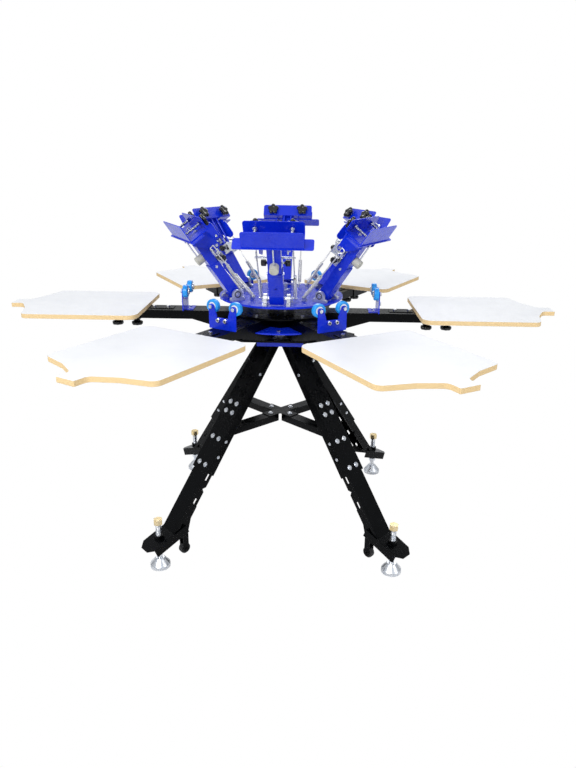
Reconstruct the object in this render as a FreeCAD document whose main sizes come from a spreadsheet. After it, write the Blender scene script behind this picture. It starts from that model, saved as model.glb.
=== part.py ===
import FreeCAD, Part
import math
import os

import Sketcher
from FreeCAD import Placement, Rotation, Vector

# Six station, six colour manual screen printing press on a four legged stand.
# Origin on the floor under the spindle, +Z up, -Y towards the printer, one platen along +X.

os.makedirs("parts", exist_ok=True)
doc = FreeCAD.newDocument("screen_printing_press")
sheet = doc.addObject("Spreadsheet::Sheet", "sizes")

# Driving sizes in millimetres and degrees
values = {
    "steel_thick": 3,  # folded sheet
    "overrun": 2,  # how far a cut runs past its piece
    "air_gap": 0.3,  # running gap between separate bodies
    "fit_gap": 0.05,  # radial gap of a shaft in its bore
    "station_count": 6,
    "hexagon_sides": 6,
    "half_turn_angle": 180,
    # platens and their arms
    "platen_top": 965,
    "board_thick": 18,
    "board_half": 225,
    "board_gap": 8,  # from the arm plate to the board
    "board_straight": 984.5,
    "shoulder_start": 1012.5,
    "shoulder_half": 115,
    "tongue_half": 36,
    "tongue_root": 1052,
    "tongue_tip": 1101.5,
    "board_round": 38,
    "shoulder_round": 30,
    "tongue_round": 26,
    "arm_half": 47,
    "arm_tall": 35,
    "arm_end": 740,
    "gusset_end": 360,
    "gusset_bend": 270,
    "gusset_bend_drop": 27,
    "gusset_low": 200,
    "gusset_low_drop": 44,
    "gusset_start": 120,
    # lower hub
    "hub_flat": 150,  # centre to each flat of the six sided drum
    "cover_radius": 200,
    "cover_thick": 6,
    "cover_bolt_gap": 22,  # in from the rim
    "lower_disc_radius": 255,
    "lower_disc_thick": 6,
    "disc_bolt_gap": 23,  # in from the rim
    "housing_radius": 60,
    # registration gates
    "gate_ring": 392,
    "gate_thick": 4,
    "gate_notch": 43,  # notch floor above the arm
    "gate_notch_half": 26,
    "gate_slant_start": 51,
    "gate_upright_half": 10,
    "gate_foot": 36,
    "roller_radius": 25,
    "roller_sink": 1,  # how far the roller reaches over the plate edge
    "roller_wide": 20,
    "roller_high": 80,  # axle above the arm
    "roller_pin": 5,
    "roller_face": 12,
    "roller_dish": 2,
    "gate_screw_half": 16,
    "gate_screw_high": 34,
    "gate_screw_out": 9,
    # platen slide brackets and their knobs
    "bracket_start_gap": 31,  # from the end of the board
    "bracket_end_gap": 20,  # from the end of the arm
    "bracket_lip": 20,
    "bracket_web": 7,  # threaded for the knobs
    "knob_start_gap": 23,
    "knob_end_gap": 41,
    "knob_grip_half": 23,
    "knob_grip_tall": 14,
    "knob_flare_tall": 6,
    "knob_neck_radius": 13,
    "knob_tall": 31,
    "knob_screw_radius": 5,
    # fittings on top of the arms
    "fitting_gap": 48,  # from the gate plate to the arm plate
    "fitting_long": 96,
    "fitting_half": 22,
    "fitting_bolt_start_gap": 26,
    "fitting_bolt_end_gap": 13,
    # spindle
    "spindle_radius": 25,
    "spindle_top": 1058,
    "flange_radius": 80,
    "flange_thick": 8,
    "collar_radius": 35,
    "top_nut_radius": 36,
    "top_nut_tall": 22,
    # upper carousel
    "upper_hub_radius": 55,
    "upper_disc_radius": 250,
    "upper_disc_thick": 8,
    "upper_disc_top": 1012,
    "hub_gap": 12,  # from the lower cover to the upper hub
    "hinge_gap": 40,  # hinge axis in from the rim of the upper disc
    "hinge_high": 24,  # hinge axis above the upper disc
    "head_turn_angle": -2,  # the upper carousel stands turned by this
    "raised_angle": 55,
    "block_inner": 37,
    "block_thick": 14,
    "block_foot_half": 30,
    "block_foot_tall": 9,
    "block_shoulder": 13,
    "block_round": 18.5,
    "block_half": 19,
    "block_eye": 13,
    "block_eye_deep": 1.5,
    "block_bolt_out": 24.5,
    "hinge_radius": 8,
    "hinge_half": 51.5,
    # head arm, seen with the arm level
    "tube_wall": 2.5,
    "tube_slip": 0.5,
    "upper_tube_half": 24.5,
    "upper_tube_rise": 17.5,
    "upper_tube_start": 120,
    "lower_tube_rear": 12,
    "lower_tube_end": 145,
    "tube_hole": 4,
    "tube_hole_place": 72,
    "cross_pin": 5,
    "cross_pin_place": 133,
    "cross_pin_half": 32,
    # screen clamp
    "clamp_back": 288,
    "clamp_tip": 357,  # free edge of the lower jaw
    "clamp_lip": 339,  # free edge of the upper jaw
    "clamp_rise": 37,
    "clamp_half": 107,
    "clamp_round": 8,
    "clamp_round_share": 0.33,
    "screw_place": 311,
    "screw_half": 64,
    "screw_radius": 5,
    "screw_foot_radius": 9,
    "screw_foot_thick": 4,
    "screw_foot_gap": 3,
    "knob_lift": 4,
    "lobe_count": 5,
    "star_outer": 30,
    "star_inner": 17,
    "star_round": 6.5,
    "star_valley": 5,
    "star_tall": 15,
    "star_boss": 9,
    "star_skirt": 3,  # boss below the lobes
    # registration unit
    "cheek_inner": 45,
    "cheek_eye_place": 205,
    "cheek_eye_rise": 43,
    "cheek_eye_round": 12,
    "cheek_heel": 30,
    "wing_half": 140,
    "wing_low": 44,
    "wing_rise": 10,
    "block_start": 125,
    "block_end": 165,
    "block_side": 24,
    "block_rise": 50,
    "side_knob_place": 150,
    "side_knob_rise": 36,
    "side_knob_radius": 12.5,
    "side_knob_start": 31,
    "side_knob_end": 54,
    "side_knob_stem": 4,
    "tie_half": 15,
    "tie_rise": 34,
    "tie_radius": 4,
    "eye_bolt_radius": 6,
    "eye_bolt_head": 6,
    "bumper_gap": 3,  # past the face of the gate plate
    "bumper_radius": 17,
    "under_rod_drop": 33,
    "under_rod_radius": 3,
    # head springs
    "spring_half": 66,
    "anchor_gap": 60,  # from the hinge axis in to the spring pin
    "anchor_high": 14,
    "anchor_pin": 3,
    "anchor_plate": 4,
    "anchor_plate_half": 11,
    "anchor_plate_round": 7,
    "anchor_pin_end": 75,
    "saddle_start": 178,
    "saddle_end": 198,
    "saddle_half": 20,
    "saddle_rise": 29,
    "spring_pin": 4,
    "spring_pin_half": 73,
    "spring_pin_rise": 23.5,
    "coil_start": 12,
    "coil_end": 116,
    "coil_radius": 7,
    "hook_rod": 3,
    "eye_wire": 5,
    "eye_play": 2,
    "lower_eye": 8,
    # stand
    "plate_top": 850,
    "plate_thick": 8,
    "plate_tip": 305,
    "plate_flat": 150,
    "plate_half": 135,
    "plate_bolt_end_gap": 35,
    "plate_bolt_out_side": 12,
    "plate_bolt_step": 35,
    "plate_bolt_in_side": 40,
    "head_half": 94,
    "head_tall": 27,
    "head_wall": 6,
    "lug_half": 30,
    "lug_long": 70,
    "leg_turn_angle": 43,
    "leg_lean_angle": 36.2,
    "leg_gap": 3,  # web in from the side of the stand head, at its underside
    "leg_deep": 40,
    "leg_top_half": 42,
    "leg_low_half": 49,
    "upper_leg_long": 565,
    "lower_leg_half": 41,
    "lower_leg_start": 268,
    "slot_half": 4,
    "slot_long": 30,
    "slot_place_high": 578,
    "slot_place_low": 796,
    "notch_place": 628,
    "notch_deep": 12,
    "foot_lean_angle": 21,
    "foot_ring": 560,
    "foot_high": 150,
    "foot_inner": 38,
    "foot_outer": 139,
    "foot_half": 46,
    "foot_deep": 35,
    "foot_clip": 25,
    "level_gap": 62.6,  # stem out from the foot's own origin
    "level_boss": 17,
    "level_boss_drop": 10,
    "level_boss_long": 45,
    "level_stem": 10,
    "level_stem_top": 202,
    "level_pad_radius": 39,
    "level_pad_tall": 14,
    "level_cone_tall": 26,
    "level_cone_radius": 18,
    "jam_nut_low": 66,
    "jam_nut_tall": 13,
    "jam_nut_radius": 17,
    "cap_nut_low": 188,
    "cap_nut_tall": 22,
    "cap_nut_radius": 18,
    "brace_top": 500,
    "brace_start": 31,
    "brace_half": 25,
    "brace_deep": 30,
    "brace_plate_long": 82,  # each limb of the centre plate
    "brace_bolt_ring": 56,
    "caster_ring": 510,
    "caster_high": 35,
    "caster_radius": 22,
    "caster_half": 11,
    "caster_pin": 4,
    "caster_gap": 1,
    "fork_top": 226,
    "fork_low": 160,
    "fork_half": 12,
    "fork_waist": 112,
    "fork_flange_high": 700,  # along the leg
    "fork_flange_low": 770,
    # bolts, each with a six sided head
    "bolt_head": 7.5,
    "bolt_head_tall": 6,
    "small_head": 5,
    "small_head_tall": 4,
    "leg_bolt_place_first": 268,
    "leg_bolt_place_second": 308,
    "leg_bolt_place_third": 424,
    "leg_bolt_place_last": 538,
    "leg_bolt_side": 20,
}


class Size:
    """A length or an angle with its value and the sheet formula that it comes from."""

    def __init__(self, value, text):
        self.value = float(value)
        self.text = text

    @staticmethod
    def of(thing):
        return thing if isinstance(thing, Size) else Size(thing, repr(thing))

    def join(self, other, sign, value):
        return Size(value, f"({self.text} {sign} {other.text})")

    def __add__(self, other):
        other = Size.of(other)
        return self.join(other, "+", self.value + other.value)

    def __sub__(self, other):
        other = Size.of(other)
        return self.join(other, "-", self.value - other.value)

    def __mul__(self, other):
        other = Size.of(other)
        return self.join(other, "*", self.value * other.value)

    def __truediv__(self, other):
        other = Size.of(other)
        return self.join(other, "/", self.value / other.value)

    def __neg__(self):
        return Size(-self.value, f"(-1 * {self.text})")


def sine(angle):
    return Size(math.sin(math.radians(angle.value)), f"sin({angle.text} * 1 deg)")


def cosine(angle):
    return Size(math.cos(math.radians(angle.value)), f"cos({angle.text} * 1 deg)")


def tangent(angle):
    return Size(math.tan(math.radians(angle.value)), f"tan({angle.text} * 1 deg)")


def reach(run, rise):
    """Distance across a run and a rise."""
    return Size(math.hypot(run.value, rise.value),
                f"sqrt({run.text} * {run.text} + {rise.text} * {rise.text})")


def slope(run, rise):
    """Angle of a rise over a run."""
    angle = math.degrees(math.atan2(rise.value, run.value))
    return Size(angle, f"(atan({rise.text} / {run.text}) / 1 deg)")


class Sizes:
    """Every cell of the sheet under its own name."""


s = Sizes()
for row, (name, value) in enumerate(values.items(), 1):
    sheet.set(f"A{row}", name)
    sheet.set(f"B{row}", str(value))
    sheet.setAlias(f"B{row}", name)
    setattr(s, name, Size(value, f"sizes.{name}"))
zero = Size(0, "0")
doc.recompute()

up = Vector(0, 0, 1)
across = Vector(0, 1, 0)
along = Vector(1, 0, 0)
nodes = []


def tie(thing, slot, size):
    """Bind one value of an object to the sheet."""
    if size.text == "0":
        return
    thing.setExpression(slot, size.text)


def put(thing, x=zero, y=zero, z=zero, axis=up, angle=zero):
    """Place a thing at x, y, z, turned by an angle about an axis."""
    place = Vector(x.value, y.value, z.value)
    thing.Placement = Placement(place, Rotation(axis, angle.value))
    tie(thing, "Placement.Base.x", x)
    tie(thing, "Placement.Base.y", y)
    tie(thing, "Placement.Base.z", z)
    tie(thing, "Placement.Rotation.Angle", angle)
    return thing


def new(kind, name):
    thing = doc.addObject(kind, name)
    thing.Label = name
    return thing


def new_body(name):
    return new("PartDesign::Body", name)


def new_sketch(body, role, offset=zero):
    """An empty sketch on one of the body's own planes, moved along its normal."""
    sketch = body.newObject("Sketcher::SketchObject", f"{body.Name}_sketch")
    plane = [feature for feature in body.Origin.OriginFeatures if feature.Role == role][0]
    sketch.AttachmentSupport = [(plane, "")]
    sketch.MapMode = "FlatFace"
    sketch.AttachmentOffset = Placement(Vector(0, 0, offset.value), Rotation())
    tie(sketch, "AttachmentOffset.Base.z", offset)
    return sketch


def pin_point(sketch, shape, end, x, y):
    """Hold one point of a sketch at x, y."""
    for kind, size, axis in (("DistanceX", x, -2), ("DistanceY", y, -1)):
        if size.text == "0":
            sketch.addConstraint(Sketcher.Constraint("PointOnObject", shape, end, axis))
        else:
            rule = sketch.addConstraint(Sketcher.Constraint(kind, -1, 1, shape, end, size.value))
            tie(sketch, f"Constraints[{rule}]", size)


def hold_radius(sketch, shape, size):
    rule = sketch.addConstraint(Sketcher.Constraint("Radius", shape, size.value))
    tie(sketch, f"Constraints[{rule}]", size)


def corner_cut(before, here, after, radius):
    """Both tangent points and the centre of the arc that rounds a corner."""
    inward = (before - here).normalize()
    outward = (after - here).normalize()
    half = inward.getAngle(outward) / 2
    trim = radius / math.tan(half)
    centre = here + (inward + outward).normalize() * (radius / math.sin(half))
    return here + inward * trim, here + outward * trim, centre


def draw_outline(sketch, corners):
    """A closed outline through x, y corners; a third value rounds that corner."""
    count = len(corners)
    spots = [Vector(corner[0].value, corner[1].value, 0) for corner in corners]
    cuts = []
    for i, corner in enumerate(corners):
        if len(corner) > 2:
            cuts.append(corner_cut(spots[i - 1], spots[i], spots[(i + 1) % count], corner[2].value))
        else:
            cuts.append((spots[i], spots[i], None))
    lines = []
    for i in range(count):
        edge = Part.LineSegment(cuts[i][1], cuts[(i + 1) % count][0])
        lines.append(sketch.addGeometry(edge, False))
    for i, corner in enumerate(corners):
        coming, leaving = lines[i - 1], lines[i]
        start, end, centre = cuts[i]
        if centre is None:
            sketch.addConstraint(Sketcher.Constraint("Coincident", coming, 2, leaving, 1))
            pin_point(sketch, leaving, 1, corner[0], corner[1])
            continue
        turn = (spots[i] - spots[i - 1]).cross(spots[(i + 1) % count] - spots[i]).z
        first, last = (start, end) if turn > 0 else (end, start)
        angle_first = math.atan2(first.y - centre.y, first.x - centre.x)
        angle_last = math.atan2(last.y - centre.y, last.x - centre.x)
        if angle_last < angle_first:
            angle_last += 2 * math.pi
        circle = Part.Circle(centre, up, corner[2].value)
        arc = sketch.addGeometry(Part.ArcOfCircle(circle, angle_first, angle_last), False)
        point = sketch.addGeometry(Part.Point(spots[i]), True)
        arc_in, arc_out = (1, 2) if turn > 0 else (2, 1)
        sketch.addConstraint(Sketcher.Constraint("Tangent", coming, 2, arc, arc_in))
        sketch.addConstraint(Sketcher.Constraint("Tangent", leaving, 1, arc, arc_out))
        sketch.addConstraint(Sketcher.Constraint("PointOnObject", point, 1, coming))
        sketch.addConstraint(Sketcher.Constraint("PointOnObject", point, 1, leaving))
        pin_point(sketch, point, 1, corner[0], corner[1])
        hold_radius(sketch, arc, corner[2])


def draw_circle(sketch, radius, x=zero, y=zero):
    circle = Part.Circle(Vector(x.value, y.value, 0), up, radius.value)
    shape = sketch.addGeometry(circle, False)
    hold_radius(sketch, shape, radius)
    pin_point(sketch, shape, 3, x, y)


def extrude(body, sketch, kind, length, symmetric=False, backwards=False):
    feature = body.newObject(f"PartDesign::{kind}", f"{body.Name}_{kind.lower()}")
    feature.Profile = sketch
    feature.Length = length.value
    tie(feature, "Length", length)
    if symmetric:
        feature.SideType = "Symmetric"
    feature.Reversed = backwards
    sketch.Visibility = False
    return feature


def pad(body, sketch, length, symmetric=False, backwards=False):
    return extrude(body, sketch, "Pad", length, symmetric, backwards)


def pocket(body, sketch, length, symmetric=False, backwards=False):
    return extrude(body, sketch, "Pocket", length, symmetric, backwards)


def revolve(body, corners):
    """A body turned about Z from a half outline in the XZ plane."""
    sketch = new_sketch(body, "XZ_Plane")
    draw_outline(sketch, corners)
    feature = body.newObject("PartDesign::Revolution", f"{body.Name}_turned")
    feature.Profile = sketch
    feature.ReferenceAxis = (sketch, ["V_Axis"])
    feature.Angle = 360
    sketch.Visibility = False
    return feature


def rectangle(x_low, x_high, y_low, y_high):
    return [(x_low, y_low), (x_high, y_low), (x_high, y_high), (x_low, y_high)]


def box(name, x_low, x_high, y_low, y_high, z_low, z_high):
    thing = new("Part::Box", name)
    for slot, size in (("Length", x_high - x_low), ("Width", y_high - y_low), ("Height", z_high - z_low)):
        setattr(thing, slot, size.value)
        tie(thing, slot, size)
    return put(thing, x_low, y_low, z_low)


def rod(name, radius, length, x=zero, y=zero, z=zero, way=up):
    """A round bar that starts at x, y, z and runs along X, Y or Z."""
    thing = new("Part::Cylinder", name)
    thing.Radius = radius.value
    thing.Height = length.value
    tie(thing, "Radius", radius)
    tie(thing, "Height", length)
    return aim(thing, x, y, z, way)


def aim(thing, x, y, z, way):
    """Place a thing that was made along Z so that it runs along X, Y or Z."""
    put(thing, x, y, z)
    if way == along:
        thing.Placement.Rotation = Rotation(across, 90)
    elif way == across:
        thing.Placement.Rotation = Rotation(along, -90)
    return thing


def hexagon(name, radius, length, x=zero, y=zero, z=zero, way=up):
    """A six sided bar, as a bolt head or a nut."""
    thing = new("Part::Prism", name)
    thing.Polygon = values["hexagon_sides"]
    thing.Circumradius = radius.value
    thing.Height = length.value
    tie(thing, "Circumradius", radius)
    tie(thing, "Height", length)
    return aim(thing, x, y, z, way)


def cut(name, base, tools):
    """A base with one or more tools taken away."""
    for count, tool in enumerate(tools):
        last = count == len(tools) - 1
        step = new("Part::Cut", name if last else f"{name}_step_{count}")
        step.Base = base
        step.Tool = tool
        base = step
    return base


def fuse(name, pieces):
    thing = new("Part::MultiFuse", name)
    thing.Shapes = pieces
    return thing


def group(name, pieces):
    """Separate solids that share one node or one placement."""
    thing = new("Part::Compound", name)
    thing.Links = pieces
    return thing


def turned_copy(name, source, angle):
    """The same piece again, turned about the spindle."""
    copy = new("App::Link", name)
    copy.LinkedObject = source
    copy.LinkTransform = True
    return put(copy, angle=angle)


def ring_of(name, source, angles):
    return group(name, [turned_copy(f"{name}_copy_{i}", source, a) for i, a in enumerate(angles, 1)])


def keep(thing, name):
    """Name a finished sub-part and list it for export."""
    thing.Label = name
    nodes.append(thing)
    return thing


arm_top = s.platen_top - s.board_thick
arm_low = arm_top - s.arm_tall
station_angle = s.half_turn_angle * 2 / s.station_count
stations = [station_angle * i for i in range(values["station_count"])]
heads = [s.head_turn_angle - s.half_turn_angle / 2 + angle for angle in stations]
hinge_z = s.upper_disc_top + s.hinge_high
hinge_ring = s.upper_disc_radius - s.hinge_gap
anchor_ring = hinge_ring - s.anchor_gap
bumper_place = s.gate_ring + s.bumper_gap - hinge_ring
fitting_start = s.gate_ring + s.fitting_gap
fitting_end = fitting_start + s.fitting_long
fitting_bolt_inner = fitting_start + s.fitting_bolt_start_gap
fitting_bolt_outer = fitting_end - s.fitting_bolt_end_gap
board_start = fitting_end + s.board_gap
bracket_start = board_start + s.bracket_start_gap
bracket_end = s.arm_end - s.bracket_end_gap
knob_inner = bracket_start + s.knob_start_gap
knob_outer = bracket_end - s.knob_end_gap
cover_bolt_ring = s.cover_radius - s.cover_bolt_gap
disc_bolt_ring = s.lower_disc_radius - s.disc_bolt_gap
leg_ring = s.head_half - s.leg_gap
level_ring = s.foot_ring + s.level_gap
level_boss_high = s.foot_high - s.level_boss_drop
level_boss_low = level_boss_high - s.level_boss_long
plate_bolt_out = s.plate_tip - s.plate_bolt_end_gap
plate_bolt_in = plate_bolt_out - s.plate_bolt_step
lower_tube_half = s.upper_tube_half + s.tube_slip + s.tube_wall
lower_tube_rise = s.upper_tube_rise + s.tube_slip + s.tube_wall
roller_side = s.upper_tube_half + s.tube_slip + s.roller_radius
roller_z = arm_top + s.roller_high
head_z = s.plate_top - s.plate_thick - s.head_tall
cover_top = arm_top + s.cover_thick
upper_hub_low = cover_top + s.hub_gap
disc_low = s.upper_disc_top - s.upper_disc_thick
stand_plate_low = s.plate_top - s.plate_thick
leg_angles = [s.leg_turn_angle, s.half_turn_angle - s.leg_turn_angle,
              s.half_turn_angle + s.leg_turn_angle, -s.leg_turn_angle]
spring_pin_place = (s.saddle_start + s.saddle_end) / 2
slot_place_mid = (s.slot_place_high + s.slot_place_low) / 2

# Where the line of a leg's web meets the top of its foot, along the leg
foot_fall = tangent(s.foot_lean_angle)
leg_meets_foot = (head_z - s.foot_high - (s.foot_ring - leg_ring) * foot_fall) / (
    cosine(s.leg_lean_angle) - sine(s.leg_lean_angle) * foot_fall)


def make_spindle():
    """Flanged shaft, the collar between the hubs and the nut on top."""
    body = new_body("spindle_shaft")
    flange_top = s.plate_top + s.flange_thick
    revolve(body, [(zero, s.plate_top), (s.flange_radius, s.plate_top), (s.flange_radius, flange_top),
                   (s.spindle_radius, flange_top), (s.spindle_radius, s.spindle_top), (zero, s.spindle_top)])
    collar = cut("spindle_collar",
                 rod("collar_bar", s.collar_radius, s.hub_gap - s.air_gap * 2, z=cover_top + s.air_gap),
                 [rod("collar_bore", s.spindle_radius, s.hub_gap * 2, z=cover_top - s.overrun)])
    nut = cut("spindle_nut",
              hexagon("top_nut_bar", s.top_nut_radius, s.top_nut_tall, z=s.upper_disc_top + s.air_gap),
              [rod("top_nut_bore", s.spindle_radius, s.top_nut_tall * 2, z=s.upper_disc_top - s.overrun)])
    keep(group("spindle_set", [body, collar, nut]), "spindle")


def make_stand_head():
    """Top plate with pointed ends over a box that carries four lugs inside the legs."""
    plate = new_body("stand_plate_body")
    sketch = new_sketch(plate, "XY_Plane", stand_plate_low)
    draw_outline(sketch, [(s.plate_tip, zero), (s.plate_flat, s.plate_half), (-s.plate_flat, s.plate_half),
                          (-s.plate_tip, zero), (-s.plate_flat, -s.plate_half),
                          (s.plate_flat, -s.plate_half)])
    pad(plate, sketch, s.plate_thick)
    keep(plate, "stand_plate")

    inner = s.head_half - s.head_wall
    shell = box("head_shell", -s.head_half, s.head_half, -s.head_half, s.head_half, head_z, stand_plate_low)
    hollow = box("head_hollow", -inner, inner, -inner, inner, head_z + s.head_wall,
                 stand_plate_low + s.overrun)
    tray = cut("head_tray", shell, [hollow])
    lug = box("lug_bar", -s.steel_thick - s.head_wall, -s.steel_thick, -s.lug_half, s.lug_half, -s.lug_long,
              s.head_wall)
    tilted = put(group("lug_tilted", [lug]), leg_ring, zero, head_z, across, -s.leg_lean_angle)
    flat = box("lug_limit", -leg_ring, leg_ring * 2, -s.head_half, s.head_half, head_z - s.lug_long * 2,
               head_z)
    trimmed = new("Part::Common", "lug")
    trimmed.Base = tilted
    trimmed.Tool = flat
    lugs = [turned_copy(f"lug_copy_{i}", trimmed, angle) for i, angle in enumerate(leg_angles, 1)]
    keep(fuse("stand_head_fused", [tray] + lugs), "stand_head")


def leg_channel(name, half_top, half_low, start, length, setback, depth):
    """A channel along -Z with its web outward at x = -setback, tapered from top to bottom."""
    body = new_body(name)
    outer = new_sketch(body, "YZ_Plane", -setback)
    draw_outline(outer, [(-half_low, -start - length), (half_low, -start - length), (half_top, -start),
                         (-half_top, -start)])
    pad(body, outer, depth, backwards=True)
    inner = new_sketch(body, "YZ_Plane", -setback - s.steel_thick)
    low, high = -start - length - s.overrun, -start + s.overrun
    draw_outline(inner, [(s.steel_thick - half_low, low), (half_low - s.steel_thick, low),
                         (half_top - s.steel_thick, high),
                         (s.steel_thick - half_top, high)])
    pocket(body, inner, depth)
    return body


def add_flange_slots(body, setback, depth):
    """Slots through both flanges and the half round notch in their free edges."""
    slots = new_sketch(body, "XZ_Plane")
    middle = -setback - depth / 2
    for place in (s.slot_place_high, slot_place_mid, s.slot_place_low):
        low, high = -place - s.slot_long / 2, -place + s.slot_long / 2
        draw_outline(slots, rectangle(middle - s.slot_half, middle + s.slot_half, low, high))
    edge = -setback - depth
    draw_outline(slots,
                 [(edge - s.overrun, -s.notch_place - s.notch_deep), (edge + s.notch_deep, -s.notch_place),
                  (edge - s.overrun, -s.notch_place + s.notch_deep)])
    pocket(body, slots, s.leg_low_half * 4, symmetric=True)


def on_leg_line(thing):
    """Lean a leg part so that it runs from the stand head down and outward."""
    return put(thing, leg_ring, zero, head_z, across, -s.leg_lean_angle)


def on_foot_line(thing):
    """Turn a part made along the foot's slope into the plane of the leg."""
    return put(thing, s.foot_ring, zero, s.foot_high, across, s.foot_lean_angle)


def make_legs():
    """Tapered upper channels with the lower channels and their feet bolted inside."""
    upper = leg_channel("upper_leg_channel", s.leg_top_half, s.leg_low_half, -s.lug_long,
                        s.upper_leg_long + s.lug_long,
                        zero, s.leg_deep)
    above = box("above_head", -leg_ring, leg_ring * 3, -leg_ring, leg_ring, head_z, s.plate_top * 2)
    top_cut = cut("upper_leg", on_leg_line(upper), [above])
    keep(ring_of("upper_leg_set", top_cut, leg_angles), "upper_legs")

    depth = s.leg_deep - s.steel_thick
    lower = leg_channel("lower_leg_channel", s.lower_leg_half, s.lower_leg_half, s.lower_leg_start,
                        leg_meets_foot + s.overrun - s.lower_leg_start, s.steel_thick, depth)
    add_flange_slots(lower, s.steel_thick, depth)
    under_web = box("under_foot_web", -s.foot_ring, s.foot_ring, -leg_ring, leg_ring, -s.foot_high, zero)
    below = on_foot_line(group("below_foot_web", [under_web]))
    shin = cut("lower_leg", on_leg_line(lower), [below])

    foot = new_body("foot_channel")
    profile = new_sketch(foot, "XZ_Plane")
    draw_outline(profile, [(-s.foot_inner, -s.foot_deep), (s.foot_outer - s.foot_clip, -s.foot_deep),
                           (s.foot_outer, -s.foot_deep / 2), (s.foot_outer, zero), (-s.foot_inner, zero)])
    pad(foot, profile, s.foot_half * 2, symmetric=True)
    inside = new_sketch(foot, "XZ_Plane")
    draw_outline(inside, rectangle(-s.foot_inner - s.overrun, s.foot_outer + s.overrun,
                                   -s.foot_deep - s.overrun, -s.steel_thick))
    pocket(foot, inside, (s.foot_half - s.steel_thick) * 2, symmetric=True)
    clips = new_sketch(foot, "XY_Plane")
    for side in (1, -1):
        edge, inner = s.foot_half * side, (s.foot_half - s.foot_clip) * side
        past = (s.foot_half + s.overrun) * side
        corners = [(s.foot_outer - s.foot_clip, past), (s.foot_outer + s.overrun, past),
                   (s.foot_outer + s.overrun, inner), (s.foot_outer, inner),
                   (s.foot_outer - s.foot_clip, edge)]
        draw_outline(clips, corners if side < 0 else corners[::-1])
    pocket(foot, clips, s.foot_deep * 4, symmetric=True)
    on_foot_line(foot)
    boss = rod("level_boss_bar", s.level_boss, level_boss_high - level_boss_low, level_ring, z=level_boss_low)
    bore = rod("level_bore", s.level_stem + s.fit_gap, s.level_stem_top, level_ring, z=zero)
    shoe = cut("foot_with_boss", fuse("foot_and_boss", [foot, boss]), [bore])
    leg_and_foot = group("lower_leg_and_foot", [shin, shoe])
    keep(ring_of("lower_leg_set", leg_and_foot, leg_angles), "lower_legs")


def make_leveling_feet():
    """Pad, stem, jam nut and cap nut that turn up and down in the foot."""
    body = new_body("level_screw_body")
    pad_top = s.level_pad_tall
    cone_top = pad_top + s.level_cone_tall
    revolve(body, [(zero, zero), (s.level_pad_radius, zero), (s.level_pad_radius, pad_top),
                   (s.level_cone_radius, cone_top), (s.level_stem, cone_top),
                   (s.level_stem, s.level_stem_top), (zero, s.level_stem_top)])
    jam = hexagon("jam_nut_bar", s.jam_nut_radius, s.jam_nut_tall, z=s.jam_nut_low)
    cap = hexagon("cap_nut_bar", s.cap_nut_radius, s.cap_nut_tall, z=s.cap_nut_low)
    stem_bore = rod("stem_bore", s.level_stem, s.level_stem_top)
    screw = group("level_screw", [body, cut("jam_nut", jam, [stem_bore]), cut("cap_nut", cap, [stem_bore])])
    put(screw, x=level_ring)
    for i, angle in enumerate(leg_angles, 1):
        keep(turned_copy(f"leveling_foot_copy_{i}", screw, angle), f"leveling_foot_{i}")


def make_brace():
    """Four channels under a centre plate of the same cross shape, out to the inside of the legs."""
    body = new_body("brace_channel")
    outer = new_sketch(body, "XY_Plane", s.brace_top)
    far = s.foot_ring
    draw_outline(outer, rectangle(s.brace_start, far, -s.brace_half, s.brace_half))
    pad(body, outer, s.brace_deep, backwards=True)
    inner = new_sketch(body, "XY_Plane", s.brace_top - s.steel_thick)
    inside = s.brace_half - s.steel_thick
    draw_outline(inner, rectangle(s.brace_start - s.overrun, far + s.overrun, -inside, inside))
    pocket(body, inner, s.brace_deep)
    past_web = box("past_leg_web", -s.steel_thick * 2, s.foot_ring, -leg_ring, leg_ring, -s.foot_ring * 2,
                   zero)
    arm = cut("brace_arm", body, [on_leg_line(group("outside_leg_web", [past_web]))])
    arms = [turned_copy(f"brace_arm_copy_{i}", arm, angle) for i, angle in enumerate(leg_angles, 1)]
    limb = box("brace_plate_limb", zero, s.brace_plate_long, -s.brace_half, s.brace_half, s.brace_top,
               s.brace_top + s.steel_thick)
    limbs = [turned_copy(f"brace_limb_copy_{i}", limb, angle) for i, angle in enumerate(leg_angles, 1)]
    keep(group("cross_brace_set", arms + [fuse("brace_plate", limbs)]), "cross_brace")


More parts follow.
